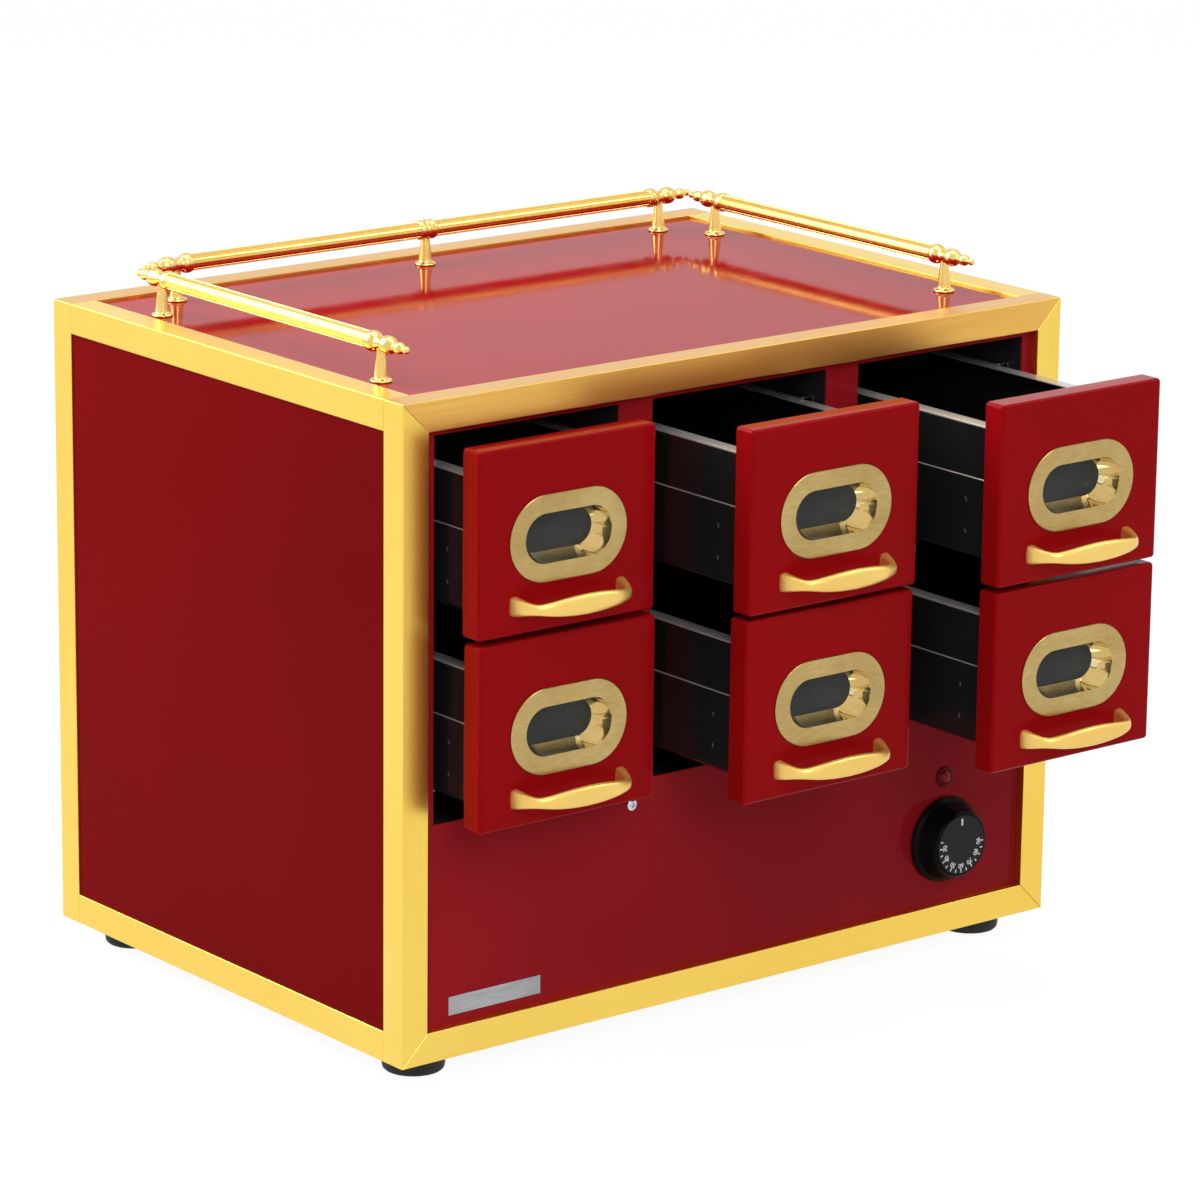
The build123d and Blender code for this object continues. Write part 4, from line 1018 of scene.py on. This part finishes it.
def buildLamp():
    x, z = faceOf("indicator_lamp")[:2]
    origin = (x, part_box("control_panel")[0].y, z)
    shape = newShape()
    for label, segments, slot in (("ring", 48, 0), ("lens", 48, 1), ("barrel", 32, 2), ("nut", 6, 2)):
        addTurned(shape, lamp[label], origin, segments, slot)
    finishes = [lampRing, lampLens, darkPlastic]
    piece = makePiece("lampAssembly", shape, finishes, crease=45, weighted=False)
    mount(piece, "cabinet", "lens_plastic", "indicator_lamp")


buildKnob()
buildLamp()
print("knob and lamp made")


studio = {
    "camera": (-2.1993, -2.7176, 1.1838), "forward": (0.6048, 0.7533, -0.2585), "roll": 0.0110,
    "lens": 164.8, "sensor": 36.0, "farClip": 40.0, "worldLight": 0.55,
    "floorSize": 9.0, "floorDrop": 0.0002, "floorColour": (0.64, 0.64, 0.64, 1), "floorShare": 0.85,
    "floorGlow": 1.10,
    # place, size and power of each lamp, all aimed at the middle of the cabinet
    "aim": (0, 0, 0.22),
    "lamps": {"key": ((-1.0, -2.7, 2.0), 1.8, 36.0), "side": ((-0.9, 0.75, 1.0), 1.1, 24.0),
              "right": ((1.7, -1.3, 2.1), 0.9, 9.0), "over": ((0.0, 0.1, 2.2), 1.5, 15.0)},
}


def buildCamera():
    data = bpy.data.cameras.new("camera")
    data.lens = studio["lens"]
    data.sensor_width = studio["sensor"]
    data.clip_end = studio["farClip"]
    forward = Vector(studio["forward"]).normalized()
    right = forward.cross(Vector((0, 0, 1))).normalized()
    up = right.cross(forward)
    roll = studio["roll"]
    right, up = (right + up * roll).normalized(), (up - right * roll).normalized()
    turn = Matrix((right, up, -forward)).transposed().to_4x4()
    camera = addObject("camera", data)
    camera.matrix_world = Matrix.Translation(studio["camera"]) @ turn
    bpy.context.scene.camera = camera


def seenDirectly(tree):
    # 1 for camera, glossy and transmission rays
    path = addNode(tree, "ShaderNodeLightPath")
    seen = [path.outputs[f"Is {kind} Ray"] for kind in ("Camera", "Glossy", "Transmission")]
    return calculate(tree, "MAXIMUM", calculate(tree, "MAXIMUM", seen[0], seen[1]), seen[2])


def buildWorld():
    world = bpy.data.worlds.new("studio")
    world.use_nodes = True
    tree = world.node_tree
    shader = tree.nodes["Background"]
    shader.inputs["Color"].default_value = (1, 1, 1, 1)
    level = addNode(tree, "ShaderNodeMix")
    level.inputs[2].default_value = studio["worldLight"]
    level.inputs[3].default_value = 1.0
    joinUp(tree, (seenDirectly(tree), level.inputs[0]), (level.outputs[0], shader.inputs["Strength"]))
    bpy.context.scene.world = world


def buildFloor():
    half = studio["floorSize"] / 2
    mesh = bpy.data.meshes.new("floor")
    corners = [(-half, -half, 0), (half, -half, 0), (half, half, 0), (-half, half, 0)]
    mesh.from_pydata(corners, [], [(0, 1, 2, 3)])
    floor = addObject("floor", mesh)
    floor.location.z = -studio["floorDrop"]
    material = bpy.data.materials.new("pale floor")
    material.use_nodes = True
    tree = material.node_tree
    shader = tree.nodes["Principled BSDF"]
    shader.inputs["Base Color"].default_value = studio["floorColour"]
    shader.inputs["Roughness"].default_value = 0.9
    shader.inputs["Specular IOR Level"].default_value = 0.0
    glow = addNode(tree, "ShaderNodeEmission")
    glow.inputs["Strength"].default_value = studio["floorGlow"]
    mix = addNode(tree, "ShaderNodeMixShader")
    share = calculate(tree, "MULTIPLY", seenDirectly(tree), studio["floorShare"])
    joinUp(tree, (share, mix.inputs[0]), (shader.outputs[0], mix.inputs[1]),
           (glow.outputs[0], mix.inputs[2]),
           (mix.outputs[0], tree.nodes["Material Output"].inputs["Surface"]))
    mesh.materials.append(material)


def buildLamps():
    for name, (place, size, power) in studio["lamps"].items():
        data = bpy.data.lights.new(name, "AREA")
        data.shape = "SQUARE"
        data.size = size
        data.energy = power
        light = addObject(name, data)
        light.location = place
        way = Vector(studio["aim"]) - Vector(place)
        light.rotation_euler = way.to_track_quat("-Z", "Y").to_euler()


buildCamera()
buildWorld()
buildFloor()
buildLamps()
bpy.context.scene.view_settings.view_transform = "Standard"
print("studio lit")
